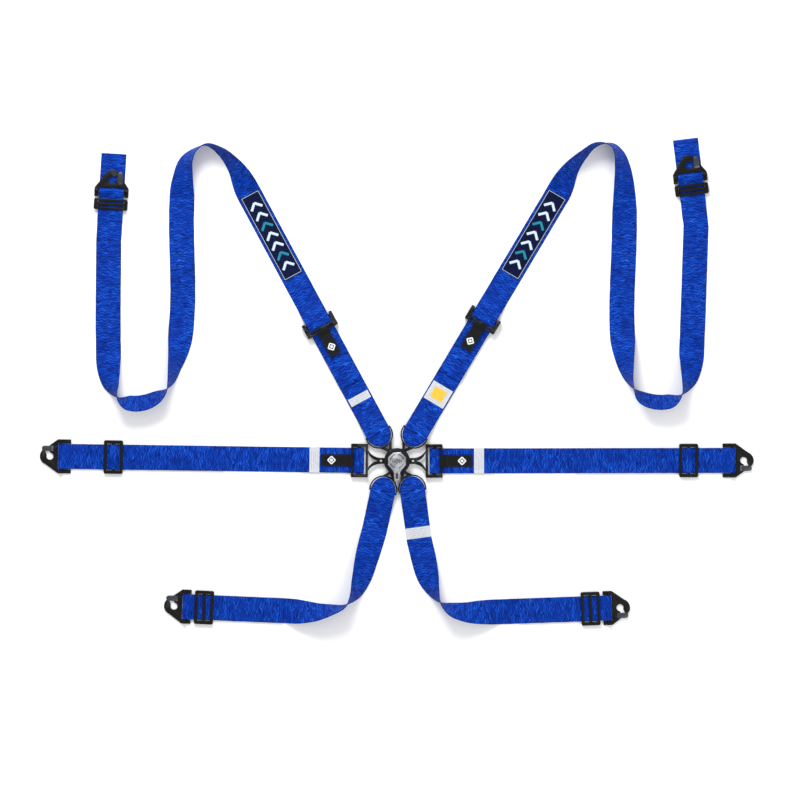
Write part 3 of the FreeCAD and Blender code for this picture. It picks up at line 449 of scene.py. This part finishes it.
def rounded(points, reach=9.0):
    """Softens a line's corners with short curves; the fine steps round a bar are left as they are."""
    out = [points[0]]
    for before, at, after in zip(points, points[1:], points[2:]):
        back, ahead = math.dist(before, at), math.dist(at, after)
        if min(back, ahead) < 2.5:
            out.append(at)
            continue
        near, far = min(reach, back * 0.45) / back, min(reach, ahead * 0.45) / ahead
        p = [a + (b - a) * near for a, b in zip(at, before)]
        q = [a + (b - a) * far for a, b in zip(at, after)]
        for n in range(7):
            t = n / 6
            out.append(tuple(a * (1 - t) ** 2 + 2 * b * t * (1 - t) + c * t * t for a, b, c in zip(p, at, q)))
    return out + [points[-1]]


def hook_turn(bar_u, low_z, landing_z, landing_u):
    """Round the hook's bar from the lower layer up and back down to the layer above it."""
    top = low_z + 2 * HOOK_FOLD_R
    return (fold(bar_u, low_z + HOOK_FOLD_R, HOOK_FOLD_R, -90, 90)
            + [(bar_u - 5, top - 0.6), (landing_u, landing_z)])


def lap_profile(belt):
    start = belt["frame"]
    hump_r = (HUMP_Z - LAYER_Z[0]) / 2
    inner = [(belt["tail_in"], LAYER_Z[1]), (start + 30, LAYER_Z[1]), (start + 24, HUMP_Z)]
    round_bar = fold(start + 12, LAYER_Z[0] + hump_r, hump_r, 90, 270)
    outer = hook_turn(belt["bar"], LAYER_Z[0], LAYER_Z[1], belt["bar"] - 19)
    return inner + round_bar + outer + [(belt["tail_out"], LAYER_Z[1])]


def tongue_turn():
    """Sewn tail, round the tongue's bar and down to the second layer."""
    low, high = TONGUE_MID_Z - TONGUE_FOLD_R, TONGUE_MID_Z + TONGUE_FOLD_R
    tail = TONGUE_BAR + SEWN_TAIL
    return ([(tail, LAYER_Z[0]), (tail - 10, LAYER_Z[0]), (TONGUE_BAR + 8, low - 0.1)]
            + fold(TONGUE_BAR, TONGUE_MID_Z, TONGUE_FOLD_R, 270, 90)
            + [(TONGUE_BAR + 10, high - 0.8), (tail - 6, LAYER_Z[1])])


def lower_shoulder_profile(belt):
    rear = belt["adjuster"] - REAR_BAR_BACK
    return (tongue_turn() + [(rear - 18, LAYER_Z[1])]
            + fold(rear, LAYER_Z[0] + REAR_FOLD_R, REAR_FOLD_R, 90, -90) + [(rear - 60, LAYER_Z[0])])


def upper_shoulder_profile(belt):
    middle, end, run_z = belt["adjuster"], belt["tail"] + PITCH / 2, LAYER_Z[2]
    return ([(end + 24, run_z + PITCH)] + fold(end, run_z + PITCH / 2, PITCH / 2, 90, 270)
            + [(middle - 30, run_z), (middle - 12, GRIP_DIP_Z), (middle - 5.5, GRIP_DIP_Z),
               (middle - 2.5, GRIP_HUMP_Z), (middle + 10, GRIP_HUMP_Z), (middle + 16, GRIP_HUMP_Z - 2),
               (middle + 50, LAYER_Z[0]), (middle + 62, LAYER_Z[0])])


def shoulder_end_profile():
    bar_u = SHOULDER_HOOK_BAR
    rising = [(30, LAYER_Z[0]), (48, LAYER_Z[2]), (85, LAYER_Z[2]),
              (bar_u - 5, LAYER_Z[1] + 2 * HOOK_FOLD_R - 0.6)]
    return (rising + fold(bar_u, LAYER_Z[1] + HOOK_FOLD_R, HOOK_FOLD_R, 90, -90)
            + fold(SHOULDER_FOLD, LAYER_Z[0] + PITCH / 2, PITCH / 2, 90, 270) + [(SHOULDER_TAIL, LAYER_Z[0])])


def crotch_start_profile():
    tail = TONGUE_BAR + SEWN_TAIL
    return tongue_turn() + [(tail + 2, LAYER_Z[1]), (tail + TAIL_STEP, LAYER_Z[0])]


def crotch_end_profile(belt):
    return (hook_turn(belt["bar"], LAYER_Z[0], LAYER_Z[1], belt["bar"] - 17)
            + [(belt["tail"], LAYER_Z[1])])


# ---------------------------------------------------------------- meshes
def new_object(name, mesh, material):
    made = bpy.data.objects.new(name, mesh)
    bpy.context.collection.objects.link(made)
    mesh.materials.append(MATERIALS[material])
    return made


def finished(obj, body, slot, *nodes):
    """Puts a piece on its body, in place of the solids that it stands for. Its slot is not used."""
    if nodes:
        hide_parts(*nodes)
    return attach(obj, body)


def mesh_from(bm, name):
    mesh = bpy.data.meshes.new(name)
    bm.to_mesh(mesh)
    bm.free()
    return mesh


def shaded(mesh, angle=40.0):
    mesh.polygons.foreach_set("use_smooth", [True] * len(mesh.polygons))
    mesh.set_sharp_from_angle(angle=radians(angle))
    return mesh


def section(width, thick, run):
    """Cross-section of webbing: flat faces, pointed selvages and a width that wanders by 0.35 mm a side."""
    half, lift = width / 2 - thick / 2, thick / 2
    top = [(-half + 2 * half * n / ACROSS_STEPS, lift) for n in range(ACROSS_STEPS + 1)]
    tip = half + lift
    bottom = [(x, -z) for x, z in reversed(top)]
    wave = 0.35 * noise.noise(Vector((run * 0.05, 3.1, 0.0)))
    shape = top + [(tip, 0.0)] + bottom + [(-tip, 0.0)]
    return [(x * (1 + wave / half), z) for x, z in shape]


def webbing_mesh(name, rows, width=WEB_WIDTH, thick=WEB_THICK):
    """Closed strip through rows of (middle, width direction). Its lay map holds metres along and across."""
    bm = bmesh.new()
    lay_map = bm.loops.layers.uv.new("lay")
    rings, run = [], [0.0]
    for n, (centre, width_dir) in enumerate(rows):
        ahead = (rows[min(n + 1, len(rows) - 1)][0] - rows[max(n - 1, 0)][0]).normalized()
        up = ahead.cross(width_dir).normalized()
        if n:
            run.append(run[-1] + (centre - rows[n - 1][0]).length)
        shape = section(width, thick, run[-1])
        rings.append([(bm.verts.new((centre + width_dir * x + up * z) * MM), x, z) for x, z in shape])
    for n, (ring, after) in enumerate(zip(rings, rings[1:])):
        for k in range(len(ring)):
            a, b = ring[k], ring[(k + 1) % len(ring)]
            c, d = after[(k + 1) % len(ring)], after[k]
            face = bm.faces.new((a[0], b[0], c[0], d[0]))
            ends = (run[n], run[n], run[n + 1], run[n + 1])
            for loop, (_, x, _z), at in zip(face.loops, (a, b, c, d), ends):
                loop[lay_map].uv = (at * MM, x * MM)
    for ring in (rings[0], rings[-1]):
        cap = bm.faces.new([corner[0] for corner in ring])
        for loop, (_, x, z) in zip(cap.loops, ring):
            loop[lay_map].uv = (z * MM, x * MM)
    bmesh.ops.recalc_face_normals(bm, faces=bm.faces)
    return shaded(mesh_from(bm, name)), run[-1]


def add_webbing(name, node, rows):
    mesh, length = webbing_mesh(name, rows)
    strap = finished(new_object(name, mesh, "webbing"), BODY_OF[node], "webbing", node)


# ---------------------------------------------------------------- webbing of the six belts
def build_webbing():
    """Makes every strap. Returns each belt's lays, at the buckle and at the hook, for the pieces on it."""
    lays = {}
    for side, belt in LAP.items():
        lay = Lay(0, 0, belt["heading"])
        name = "lap_" + side
        rows = profile_rows(lay, filled(rounded(lap_profile(belt))), lay.left)
        add_webbing(name + "_strap", name + "_webbing", rows)
        lays[name] = (lay, lay)
    for side, belt in SHOULDER.items():
        lay, end = loop_lay(belt), end_lay(belt)
        name = "shoulder_" + side
        lower = profile_rows(lay, filled(rounded(lower_shoulder_profile(belt))), lay.left)
        add_webbing(name + "_short_strap", name + "_lower_webbing", lower)
        rows = profile_rows(lay, filled(rounded(upper_shoulder_profile(belt)))[:-1], lay.left * belt["hand"])
        last = profile_rows(end, filled(rounded(shoulder_end_profile())), end.left * -belt["hand"])
        rows = joined(rows, belt, last)
        add_webbing(name + "_long_strap", name + "_upper_webbing", rows)
        lays[name] = (lay, end)
    for side, belt in CROTCH.items():
        lay, end = loop_lay(belt), end_lay(belt)
        name = "crotch_" + side
        rows = profile_rows(lay, filled(rounded(crotch_start_profile())), lay.left * belt["hand"])
        last = profile_rows(end, filled(rounded(crotch_end_profile(belt))), end.left * -belt["hand"])
        rows = joined(rows, belt, last)
        add_webbing(name + "_strap", name + "_webbing", rows)
        lays[name] = (lay, end)
    return lays


def loop_lay(belt):
    return aimed(belt["loop"], belt["route"][0][:2])


def end_lay(belt):
    x, y, _ = belt["route"][-1]
    return Lay(x, y, belt["end_heading"])


def joined(before, belt, after):
    """One line of rows: the start, a straight stretch to the route, the route, and the end."""
    middle = route_rows(belt["route"], belt["hand"])
    return before + gap_rows(before[-1], middle[0]) + middle + gap_rows(middle[-1], after[0]) + after


def gap_rows(last, first):
    """Evenly spaced rows between two others."""
    gap = (first[0] - last[0]).length
    count = max(1, round(gap / ROUTE_STEP))
    return [(last[0].lerp(first[0], n / count), last[1].lerp(first[1], n / count).normalized())
            for n in range(1, count)]


LAYS = build_webbing()


# ---------------------------------------------------------------- metal pieces
def round_corners(bm, radius):
    """Rounds the upright outer corners of a plate."""
    upright = []
    for edge in bm.edges:
        run = edge.verts[1].co - edge.verts[0].co
        if run.length > 2.0 * MM and abs(run.z) > 0.99 * run.length and len(edge.link_faces) == 2:
            if edge.calc_face_angle_signed() > radians(40):
                upright.append(edge)
    if upright:
        bmesh.ops.bevel(bm, geom=upright, offset=radius * MM, segments=4, profile=0.5, affect="EDGES",
                        clamp_overlap=True)


def softened(node, width, corner=0.0):
    """The node's own shape with its edges broken, as on a deburred or die-cast part."""
    source = frame["nodes"][node]
    mesh = source.data.copy()
    mesh.materials.clear()
    bm = bmesh.new()
    bm.from_mesh(mesh)
    bmesh.ops.remove_doubles(bm, verts=bm.verts, dist=2e-6)
    bmesh.ops.dissolve_limit(bm, angle_limit=radians(1.5), verts=bm.verts, edges=bm.edges)
    if corner:
        round_corners(bm, corner)
    bm.to_mesh(mesh)
    bm.free()
    slot = SLOT_OF[node]
    made = new_object(node + "_finished", mesh, slot)
    made.matrix_world = source.matrix_world
    bevel = made.modifiers.new("broken_edges", "BEVEL")
    bevel.width = width * MM
    bevel.segments = 2
    bevel.limit_method = "ANGLE"
    bevel.angle_limit = radians(32)
    bevel.harden_normals = False
    bevel.use_clamp_overlap = True
    baked(made)
    return finished(made, BODY_OF[node], slot, node)


def baked(obj):
    """Keeps the result of the object's modifiers as its mesh."""
    bpy.context.view_layer.update()
    graph = bpy.context.evaluated_depsgraph_get()
    mesh = bpy.data.meshes.new_from_object(obj.evaluated_get(graph))
    obj.modifiers.clear()
    obj.data = mesh
    shaded(mesh, 32)


# Width of the broken edges and radius of the plan corners.
HARDWARE = {"_hook": (0.7, 3.5), "_hook_gate": (0.15, 0.0), "_slider": (0.7, 4.0),
            "_adjuster_bar": (0.4, 0.0), "_tongue": (0.5, 2.5), "_adjuster_frame": (0.6, 2.5)}
for node in list(frame["nodes"]):
    for ending, (width, corner) in HARDWARE.items():
        if node.endswith(ending):
            softened(node, width, corner)
for node, width in {"buckle_base_plate": 0.4, "buckle_housing": 0.6, "housing_screws": 0.2,
                    "fixed_tongue_screw": 0.2, "cam_plate": 0.2, "knob_screw": 0.2, "latch_pins": 0.25,
                    "knob_return_spring": 0.05}.items():
    softened(node, width)

# The latch springs shorten from 4.5 mm to 0.9 mm against the housing's roof as the pins lift.
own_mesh(softened("latch_springs", 0.03))


# ---------------------------------------------------------------- release knob
KNOB_FACE_R = 19.5
KNOB_Z = 20.0
KNOB_TOP = 27.0
LEVER_HALF = 5.7
LEVER_TIP = 38.5


def outline_ring(inset):
    """Outline of the knob: six corners of an octagon, and a lever that tapers out of the side below them."""
    radius = KNOB_FACE_R - inset
    corners = (-22.5, 22.5, 67.5, 112.5, 157.5, 202.5)
    upper = [(radius * cos(radians(a)), radius * sin(radians(a))) for a in corners]
    half, tip = LEVER_HALF - inset, LEVER_TIP - inset
    left = [(-radius * 0.62, -radius * 0.72), (-half - 1.6, -radius - 1.0), (-half, -radius - 6.0),
            (-half, -tip + 2.5), (-half + 2.5, -tip)]
    return upper + left + [(-x, y) for x, y in reversed(left)]


def add_walls(bm, low, high):
    """Faces between two rings of corners."""
    for k in range(len(low)):
        j = (k + 1) % len(low)
        bm.faces.new((low[k], low[j], high[j], high[k]))


def stacked(name, levels, material):
    """Solid through rings of (points, height), closed at both ends."""
    bm = bmesh.new()
    rings = [[bm.verts.new((x * MM, y * MM, z * MM)) for x, y in points] for points, z in levels]
    for low, high in zip(rings, rings[1:]):
        add_walls(bm, low, high)
    bm.faces.new(rings[0][::-1])
    bm.faces.new(rings[-1])
    bmesh.ops.recalc_face_normals(bm, faces=bm.faces)
    return new_object(name, shaded(mesh_from(bm, name), 25), material)


def circle(radius, steps=72):
    return [(radius * cos(2 * pi * n / steps), radius * sin(2 * pi * n / steps)) for n in range(steps)]


def flat_shape(name, loops, z0, z1, material):
    """Raised flat figure made of closed outlines, each filled by itself."""
    bm = bmesh.new()
    for points in loops:
        low = [bm.verts.new((x * MM, y * MM, z0 * MM)) for x, y in points]
        high = [bm.verts.new((x * MM, y * MM, z1 * MM)) for x, y in points]
        add_walls(bm, low, high)
        bm.faces.new(low[::-1])
        bm.faces.new(high)
    bmesh.ops.recalc_face_normals(bm, faces=bm.faces)
    return new_object(name, mesh_from(bm, name), material)


def ring_band(inner, outer, start, end, steps=28):
    """Outline of part of a ring, between two angles in degrees."""
    angles = [radians(start + (end - start) * n / steps) for n in range(steps + 1)]
    return ([(outer * cos(a), outer * sin(a)) for a in angles]
            + [(inner * cos(a), inner * sin(a)) for a in reversed(angles)])


def arrow_head(radius, angle, way, size):
    """Triangle on a circle, pointing along it."""
    at = Vector((radius * cos(radians(angle)), radius * sin(radians(angle))))
    out = at.normalized()
    ahead = Vector((-out.y, out.x)) * way
    return [tuple(at + ahead * size), tuple(at + out * size * 0.8), tuple(at - out * size * 0.8)]


def build_knob():
    """Cast knob with a rounded rim and a lever whose groove is only painted shade, and painted turning arrows
    round a blank middle.
    """
    levels = [(0.6, KNOB_Z), (0.0, KNOB_Z + 0.7), (0.0, KNOB_TOP - 1.6), (0.35, KNOB_TOP - 0.9),
              (1.1, KNOB_TOP - 0.35), (2.0, KNOB_TOP - 0.3)]
    body = stacked("knob_casting", [(outline_ring(inset), z) for inset, z in levels], "knob_alloy")
    finished(body, "knob", "knob_alloy", "release_knob")
    disc = stacked("knob_face", [(circle(16.8), KNOB_TOP - 0.5), (circle(16.8), KNOB_TOP - 0.05),
                                 (circle(16.3), KNOB_TOP + 0.1)], "knob_alloy")
    finished(disc, "knob", "knob_alloy")
    # Four arcs on one circle, the upper two ending in arrows, round five bars, the middle one tallest.
    inner, outer = 12.9, 14.4
    middle = (inner + outer) / 2
    marks = [ring_band(inner, outer, 25, 78), ring_band(inner, outer, 102, 155),
             arrow_head(middle, 24, -1, 2.9), arrow_head(middle, 156, 1, 2.9),
             ring_band(inner, outer, 200, 252), ring_band(inner, outer, 288, 340)]
    for n in range(5):
        x, half_wide, half_tall = -8 + 4 * n, 1.1, 5.5 - 1.8 * abs(n - 2)
        marks.append([(x - half_wide, -half_tall), (x + half_wide, -half_tall), (x + half_wide, half_tall),
                      (x - half_wide, half_tall)])
    paint = flat_shape("knob_marks", marks, KNOB_TOP, KNOB_TOP + 0.22, "dark_fill")
    finished(paint, "knob", "knob_alloy")
    # Painted shade of a long groove on the lever, narrower at its tip: a thin dark sheet on top of the lever,
    # with no groove cut.
    groove = [(-3.0, -24.0), (3.0, -24.0), (2.4, -35.5), (-2.4, -35.5)]
    shade = flat_shape("lever_groove_shade", [groove], KNOB_TOP - 0.3, KNOB_TOP - 0.1, "dark_fill")
    finished(shade, "knob", "knob_alloy")


build_knob()


# ---------------------------------------------------------------- sewn and printed pieces
def plate_rows(lay, u0, u1, z, step=3.0):
    count = max(1, round((u1 - u0) / step))
    return [(lay.point(u0 + (u1 - u0) * n / count, z), lay.left) for n in range(count + 1)]


def cloth_piece(name, rows, width, thick, material, body, slot, nodes=()):
    mesh, length = webbing_mesh(name, rows, width, thick)
    made = finished(new_object(name, mesh, material), body, slot, *nodes)


def dashes(name, lay, lines, surface, body, material="thread", length=2.6, pitch=3.4, wide=0.7, high=0.35,
           slot="webbing"):
    """Rows of raised stitches between pairs of (u, v) points; surface gives the height at each u."""
    bm = bmesh.new()
    place = lay.matrix()
    for (u0, v0), (u1, v1) in lines:
        run = hypot(u1 - u0, v1 - v0)
        count = max(1, int(run / pitch))
        turn = Matrix.Rotation(atan2(v1 - v0, u1 - u0), 4, "Z")
        size = Matrix.Diagonal((length / 2, wide / 2, high, 1.0))
        for n in range(count):
            at = (n + 0.5) / count
            u, v = u0 + (u1 - u0) * at, v0 + (v1 - v0) * at
            middle = Matrix.Translation((u, v, surface(u)))
            bmesh.ops.create_uvsphere(bm, u_segments=8, v_segments=5, radius=1.0,
                                      matrix=place @ middle @ turn @ size)
    finished(new_object(name, shaded(mesh_from(bm, name), 80), material), body, slot)


def level(z):
    return lambda u: z


def between(u0, z0, u1, z1):
    """Height that falls evenly from one end to the other."""
    return lambda u: z0 + (z1 - z0) * min(1.0, max(0.0, (u - u0) / (u1 - u0)))


def box_lines(u0, u1, half, crossed=False):
    """Lines of a stitched box, with a cross in it if asked."""
    lines = [((u0, -half), (u1, -half)), ((u1, -half), (u1, half)), ((u1, half), (u0, half)),
             ((u0, half), (u0, -half))]
    return lines + ([((u0, -half), (u1, half)), ((u0, half), (u1, -half))] if crossed else [])


def sewn_label(name, lay, u0, u1, width, z, body):
    """Satin label with a row of stitches round it."""
    rows = plate_rows(lay, u0, u1, z + LABEL_THICK / 2)
    cloth_piece(name, rows, width, LABEL_THICK, "label", body, "label", nodes=[name.replace("_cloth", "")])
    edge = 1.4
    border = box_lines(u0 + edge, u1 - edge, width / 2 - edge)
    dashes(name + "_stitches", lay, border, level(z + LABEL_THICK), body, "white_thread", length=1.6,
           pitch=2.4, wide=0.45, high=0.2, slot="label")


def straight_run(belt):
    x0, y0 = belt["loop"]
    x1, y1, _ = belt["route"][0]
    return hypot(x1 - x0, y1 - y0)


def build_labels():
    for side, belt in LAP.items():
        name = "lap_" + side
        u0 = belt["label"]
        sewn_label(name + "_label_cloth", LAYS[name][0], u0, u0 + LAP_LABEL_LENGTH, WEB_WIDTH, TOP_2,
                   BODY_OF[name + "_label"])
    for side, belt in SHOULDER.items():
        name = "shoulder_" + side
        lay, body = LAYS[name][0], BODY_OF[name + "_label"]
        u0, u1, width = belt["label"]
        sewn_label(name + "_label_cloth", lay, u0, u1, width, TOP_2, body)
        if side == "right":
            # Gold block in the middle of the label.
            cloth_piece(name + "_label_block", plate_rows(lay, u0 + 9, u1 - 8, TOP_2 + LABEL_THICK + 0.05),
                        width - 19, 0.1, "gold_label", body, "label")
        build_patch(name, lay, belt)
    u0, u1 = (straight_run(CROTCH["right"]) - back for back in CROTCH_LABEL)
    sewn_label("crotch_right_label_cloth", LAYS["crotch_right"][0], u0, u1, WEB_WIDTH, TOP_1,
               BODY_OF["crotch_right_label"])


def build_patch(name, lay, belt):
    """Embroidered navy patch with a row of pale and teal chevrons inside a border."""
    u0, u1 = (straight_run(belt) - back for back in belt["patch"])
    body = BODY_OF[name + "_patch"]
    rows = plate_rows(lay, u0, u1, TOP_1 + PATCH_THICK / 2)
    cloth_piece(name + "_patch_cloth", rows, PATCH_WIDTH, PATCH_THICK, "patch", body, "patch",
                nodes=[name + "_patch"])
    top = TOP_1 + PATCH_THICK
    edge = 1.6
    border = box_lines(u0 + edge, u1 - edge, PATCH_WIDTH / 2 - edge)
    dashes(name + "_patch_border", lay, border, level(top), body, "patch_pale", length=2.2, pitch=2.3,
           wide=1.3, high=0.25, slot="patch")
    count = 7
    pitch = (u1 - u0 - 30) / count
    for n in range(count):
        middle = u0 + 15 + pitch * (n + 0.5)
        arms = [((middle - 6, side * 12), (middle + 6, 0)) for side in (-1, 1)]
        tone = "patch_teal" if n % 3 == 1 else "patch_pale"
        dashes(f"{name}_patch_chevron_{n}", lay, arms, level(top), body, tone, length=1.5, pitch=0.62,
               wide=6.0, high=0.3, slot="patch")


def tab_profile(axis_u, axis_z, length, way):
    """Tape folded round a crossbar with both layers lying away from it; way is 1 outwards, -1 inwards."""
    low = axis_z - TAB_EYE_R + TAPE_THICK / 2
    high = low + TAPE_THICK + 0.1
    end = axis_u + way * length
    turn = fold(axis_u, axis_z, TAPE_FOLD_R, 270 if way > 0 else -90, 90)
    return [(end, low), (axis_u + way * 8, low)] + turn + [(axis_u + way * 10, high), (end, high)]


def diamond_lines(u, reach):
    corners = [(u - reach, 0), (u, reach), (u + reach, 0), (u, -reach)]
    return list(zip(corners, corners[1:] + corners[:1]))


def build_tab(name, lay, axis_u, axis_z, length, way):
    """Black pull tab with a stitched end and a small white diamond mark."""
    node = name + "_pull_tab"
    body = BODY_OF[node]
    rows = profile_rows(lay, filled(rounded(tab_profile(axis_u, axis_z, length, way), 4.0)), lay.left)
    cloth_piece(name + "_tab_tape", rows, TAPE_WIDTH, TAPE_THICK, "pull_tab", body, "pull_tab", [node])
    top = axis_z - TAB_EYE_R + 1.35
    ends = sorted((axis_u + way * 12, axis_u + way * (length - 2)))
    dashes(name + "_tab_stitches", lay, box_lines(ends[0], ends[1], 10.2), level(top), body, "dark_fill",
           length=2.0, pitch=2.8, wide=0.5, high=0.2, slot="pull_tab")
    middle = axis_u + way * length * 0.66
    marks = diamond_lines(middle, 7.5) + diamond_lines(middle, 2.2)
    dashes(name + "_tab_mark", lay, marks, level(top), body, "white_thread", length=1.2, pitch=0.6, wide=3.0,
           high=0.2, slot="pull_tab")


def build_tabs():
    for side, belt in LAP.items():
        axis_u = belt["frame"] + LAP_TAB_BAR
        length = belt["label"] - TAB_TO_LABEL - axis_u
        build_tab("lap_" + side, LAYS["lap_" + side][0], axis_u, LAP_AXIS_Z, length, 1)
    for side, belt in SHOULDER.items():
        axis_u = belt["adjuster"] - TAB_BAR_BACK
        build_tab("shoulder_" + side, LAYS["shoulder_" + side][0], axis_u, GRIP_AXIS_Z, GRIP_TAB_LENGTH, -1)


def hump_profile(reach, side_bar, bar_half, low, top):
    """Webbing that comes up beside one end bar, crosses the middle bar and goes down beside the other."""
    crest = top + WEB_THICK / 2 + 0.15
    rise = [(-reach, low), (-side_bar + 0.8, low + 0.9), (-bar_half - 1.8, crest - 0.7), (-bar_half, crest)]
    return rise + [(-u, z) for u, z in reversed(rise)]


def build_humps():
    """The webbing threaded over the middle bar of each slide on the lap belts; it travels with the slide."""
    bar_z = TOP_2 + 0.4
    profile = hump_profile(11.0, 9.0, 3.0, bar_z - 1.1, bar_z + BAR_THICK)
    for side, belt in LAP.items():
        lay = LAYS["lap_" + side][1]
        points = [(belt["slider"] + u, z) for u, z in profile]
        rows = profile_rows(lay, filled(rounded(points, 3.0)), lay.left)
        cloth_piece(f"lap_{side}_slide_hump", rows, WEB_WIDTH - 0.4, WEB_THICK, "webbing",
                    f"lap_{side}_slide", "webbing")


def build_loop_end(name, body, lay):
    """Rounded end of the sewn webbing where it fills the hoop, domed in the middle and falling at its rim."""
    radius, stretch, rings, turns = 24.9, 1.16, 10, 40
    bm = bmesh.new()
    lay_map = bm.loops.layers.uv.new("lay")
    place = lay.matrix()

    def surface(r):
        edge = max(0.0, (r / radius - 0.86) / 0.14)
        return 11.7 - 1.6 * (r / radius) ** 2 - 1.5 * edge ** 2

    def ring_points(r, z):
        angles = [pi / 2 + pi * k / turns for k in range(turns + 1)]
        return [(TONGUE_BAR + r * cos(a) * stretch, r * sin(a), z) for a in angles]

    levels = [(radius * n / rings, surface(radius * n / rings)) for n in range(1, rings + 1)]
    levels.append((radius, 7.6))
    grid = [[bm.verts.new(place @ Vector(p)) for p in ring_points(r, z)] for r, z in levels]
    flat = [ring_points(r, z) for r, z in levels]
    for i in range(len(levels) - 1):
        for k in range(turns):
            corners = ((i, k), (i, k + 1), (i + 1, k + 1), (i + 1, k))
            face = bm.faces.new([grid[a][b] for a, b in corners])
            for loop, (a, b) in zip(face.loops, corners):
                loop[lay_map].uv = (flat[a][b][0] * MM, flat[a][b][1] * MM)
    centre = bm.verts.new(place @ Vector((TONGUE_BAR, 0, surface(0))))
    for k in range(turns):
        face = bm.faces.new((centre, grid[0][k + 1], grid[0][k]))
        for loop in face.loops:
            loop[lay_map].uv = (TONGUE_BAR * MM, 0.0)
    bm.faces.new(grid[-1][::-1])
    bm.faces.new([ring[0] for ring in reversed(grid)] + [centre] + [ring[-1] for ring in grid])
    bmesh.ops.recalc_face_normals(bm, faces=bm.faces)
    made = finished(new_object(name, shaded(mesh_from(bm, name), 50), "webbing"), body, "webbing")


def hem_lines(*places):
    return [((u, -22), (u, 22)) for u in places]


def build_stitching():
    """Boxes of stitches on the sewn loops, and two rows of hem stitches at the end of each tail."""
    slope = between(14, 11.5, 50, TOP_2)
    for name in ("shoulder_left", "shoulder_right", "crotch_left", "crotch_right"):
        body = name + "_belt"
        lay = LAYS[name][0]
        build_loop_end(name + "_loop_end", body, lay)
        dashes(name + "_loop_stitches", lay, box_lines(20, 50, 20, True), slope, body)
    for side, belt in LAP.items():
        name = "lap_" + side
        hems = hem_lines(belt["tail_in"] - 4, belt["tail_in"] - 8, belt["tail_out"] + 4, belt["tail_out"] + 8)
        dashes(name + "_hem_stitches", LAYS[name][0], hems, level(TOP_2), BODY_OF[name + "_webbing"])
    for side in SHOULDER:
        name = "shoulder_" + side
        hems = hem_lines(SHOULDER_TAIL - 8, SHOULDER_TAIL - 4)
        dashes(name + "_hem_stitches", LAYS[name][1], hems, level(TOP_1), BODY_OF[name + "_upper_webbing"])
    for side, belt in CROTCH.items():
        name = "crotch_" + side
        hems = hem_lines(belt["tail"] + 4, belt["tail"] + 8)
        dashes(name + "_hem_stitches", LAYS[name][1], hems, level(TOP_2), BODY_OF[name + "_webbing"])


build_labels()
build_tabs()
build_humps()
build_stitching()


# ---------------------------------------------------------------- camera, floor and light
def build_stage():
    bpy.context.scene.view_settings.view_transform = "Standard"
    bpy.ops.mesh.primitive_plane_add(size=14, location=(0, 0.12, -0.0005))
    floor = bpy.context.object
    floor.name = "floor"
    made, _, shader = new_material("pale_floor", Roughness=0.9, Specular_IOR_Level=0.1)
    shader.inputs["Base Color"].default_value = srgb("#F4F4F4")
    floor.data.materials.append(made)


def area_light(name, place, aim, size, power):
    data = bpy.data.lights.new(name, "AREA")
    data.size = size
    data.energy = power
    lamp = bpy.data.objects.new(name, data)
    lamp.location = place
    lamp.rotation_euler = (Vector(aim) - Vector(place)).to_track_quat("-Z", "Y").to_euler()
    bpy.context.collection.objects.link(lamp)


def build_camera():
    data = bpy.data.cameras.new("above")
    data.sensor_width = 36
    data.lens = 180
    data.clip_end = 60
    camera = bpy.data.objects.new("above", data)
    camera.location = (0.006, 0.122, 8.0)
    bpy.context.collection.objects.link(camera)
    bpy.context.scene.camera = camera


def build_world():
    world = bpy.data.worlds.new("studio")
    world.use_nodes = True
    backdrop = world.node_tree.nodes["Background"]
    backdrop.inputs["Color"].default_value = (1.0, 1.0, 1.0, 1.0)
    backdrop.inputs["Strength"].default_value = 0.82
    bpy.context.scene.world = world


build_stage()
build_world()
build_camera()
area_light("key", (-0.6, 2.6, 2.4), (0.0, 0.1, 0.0), 1.4, 105)
area_light("fill", (1.6, -1.4, 2.6), (0.0, 0.1, 0.0), 2.4, 25)
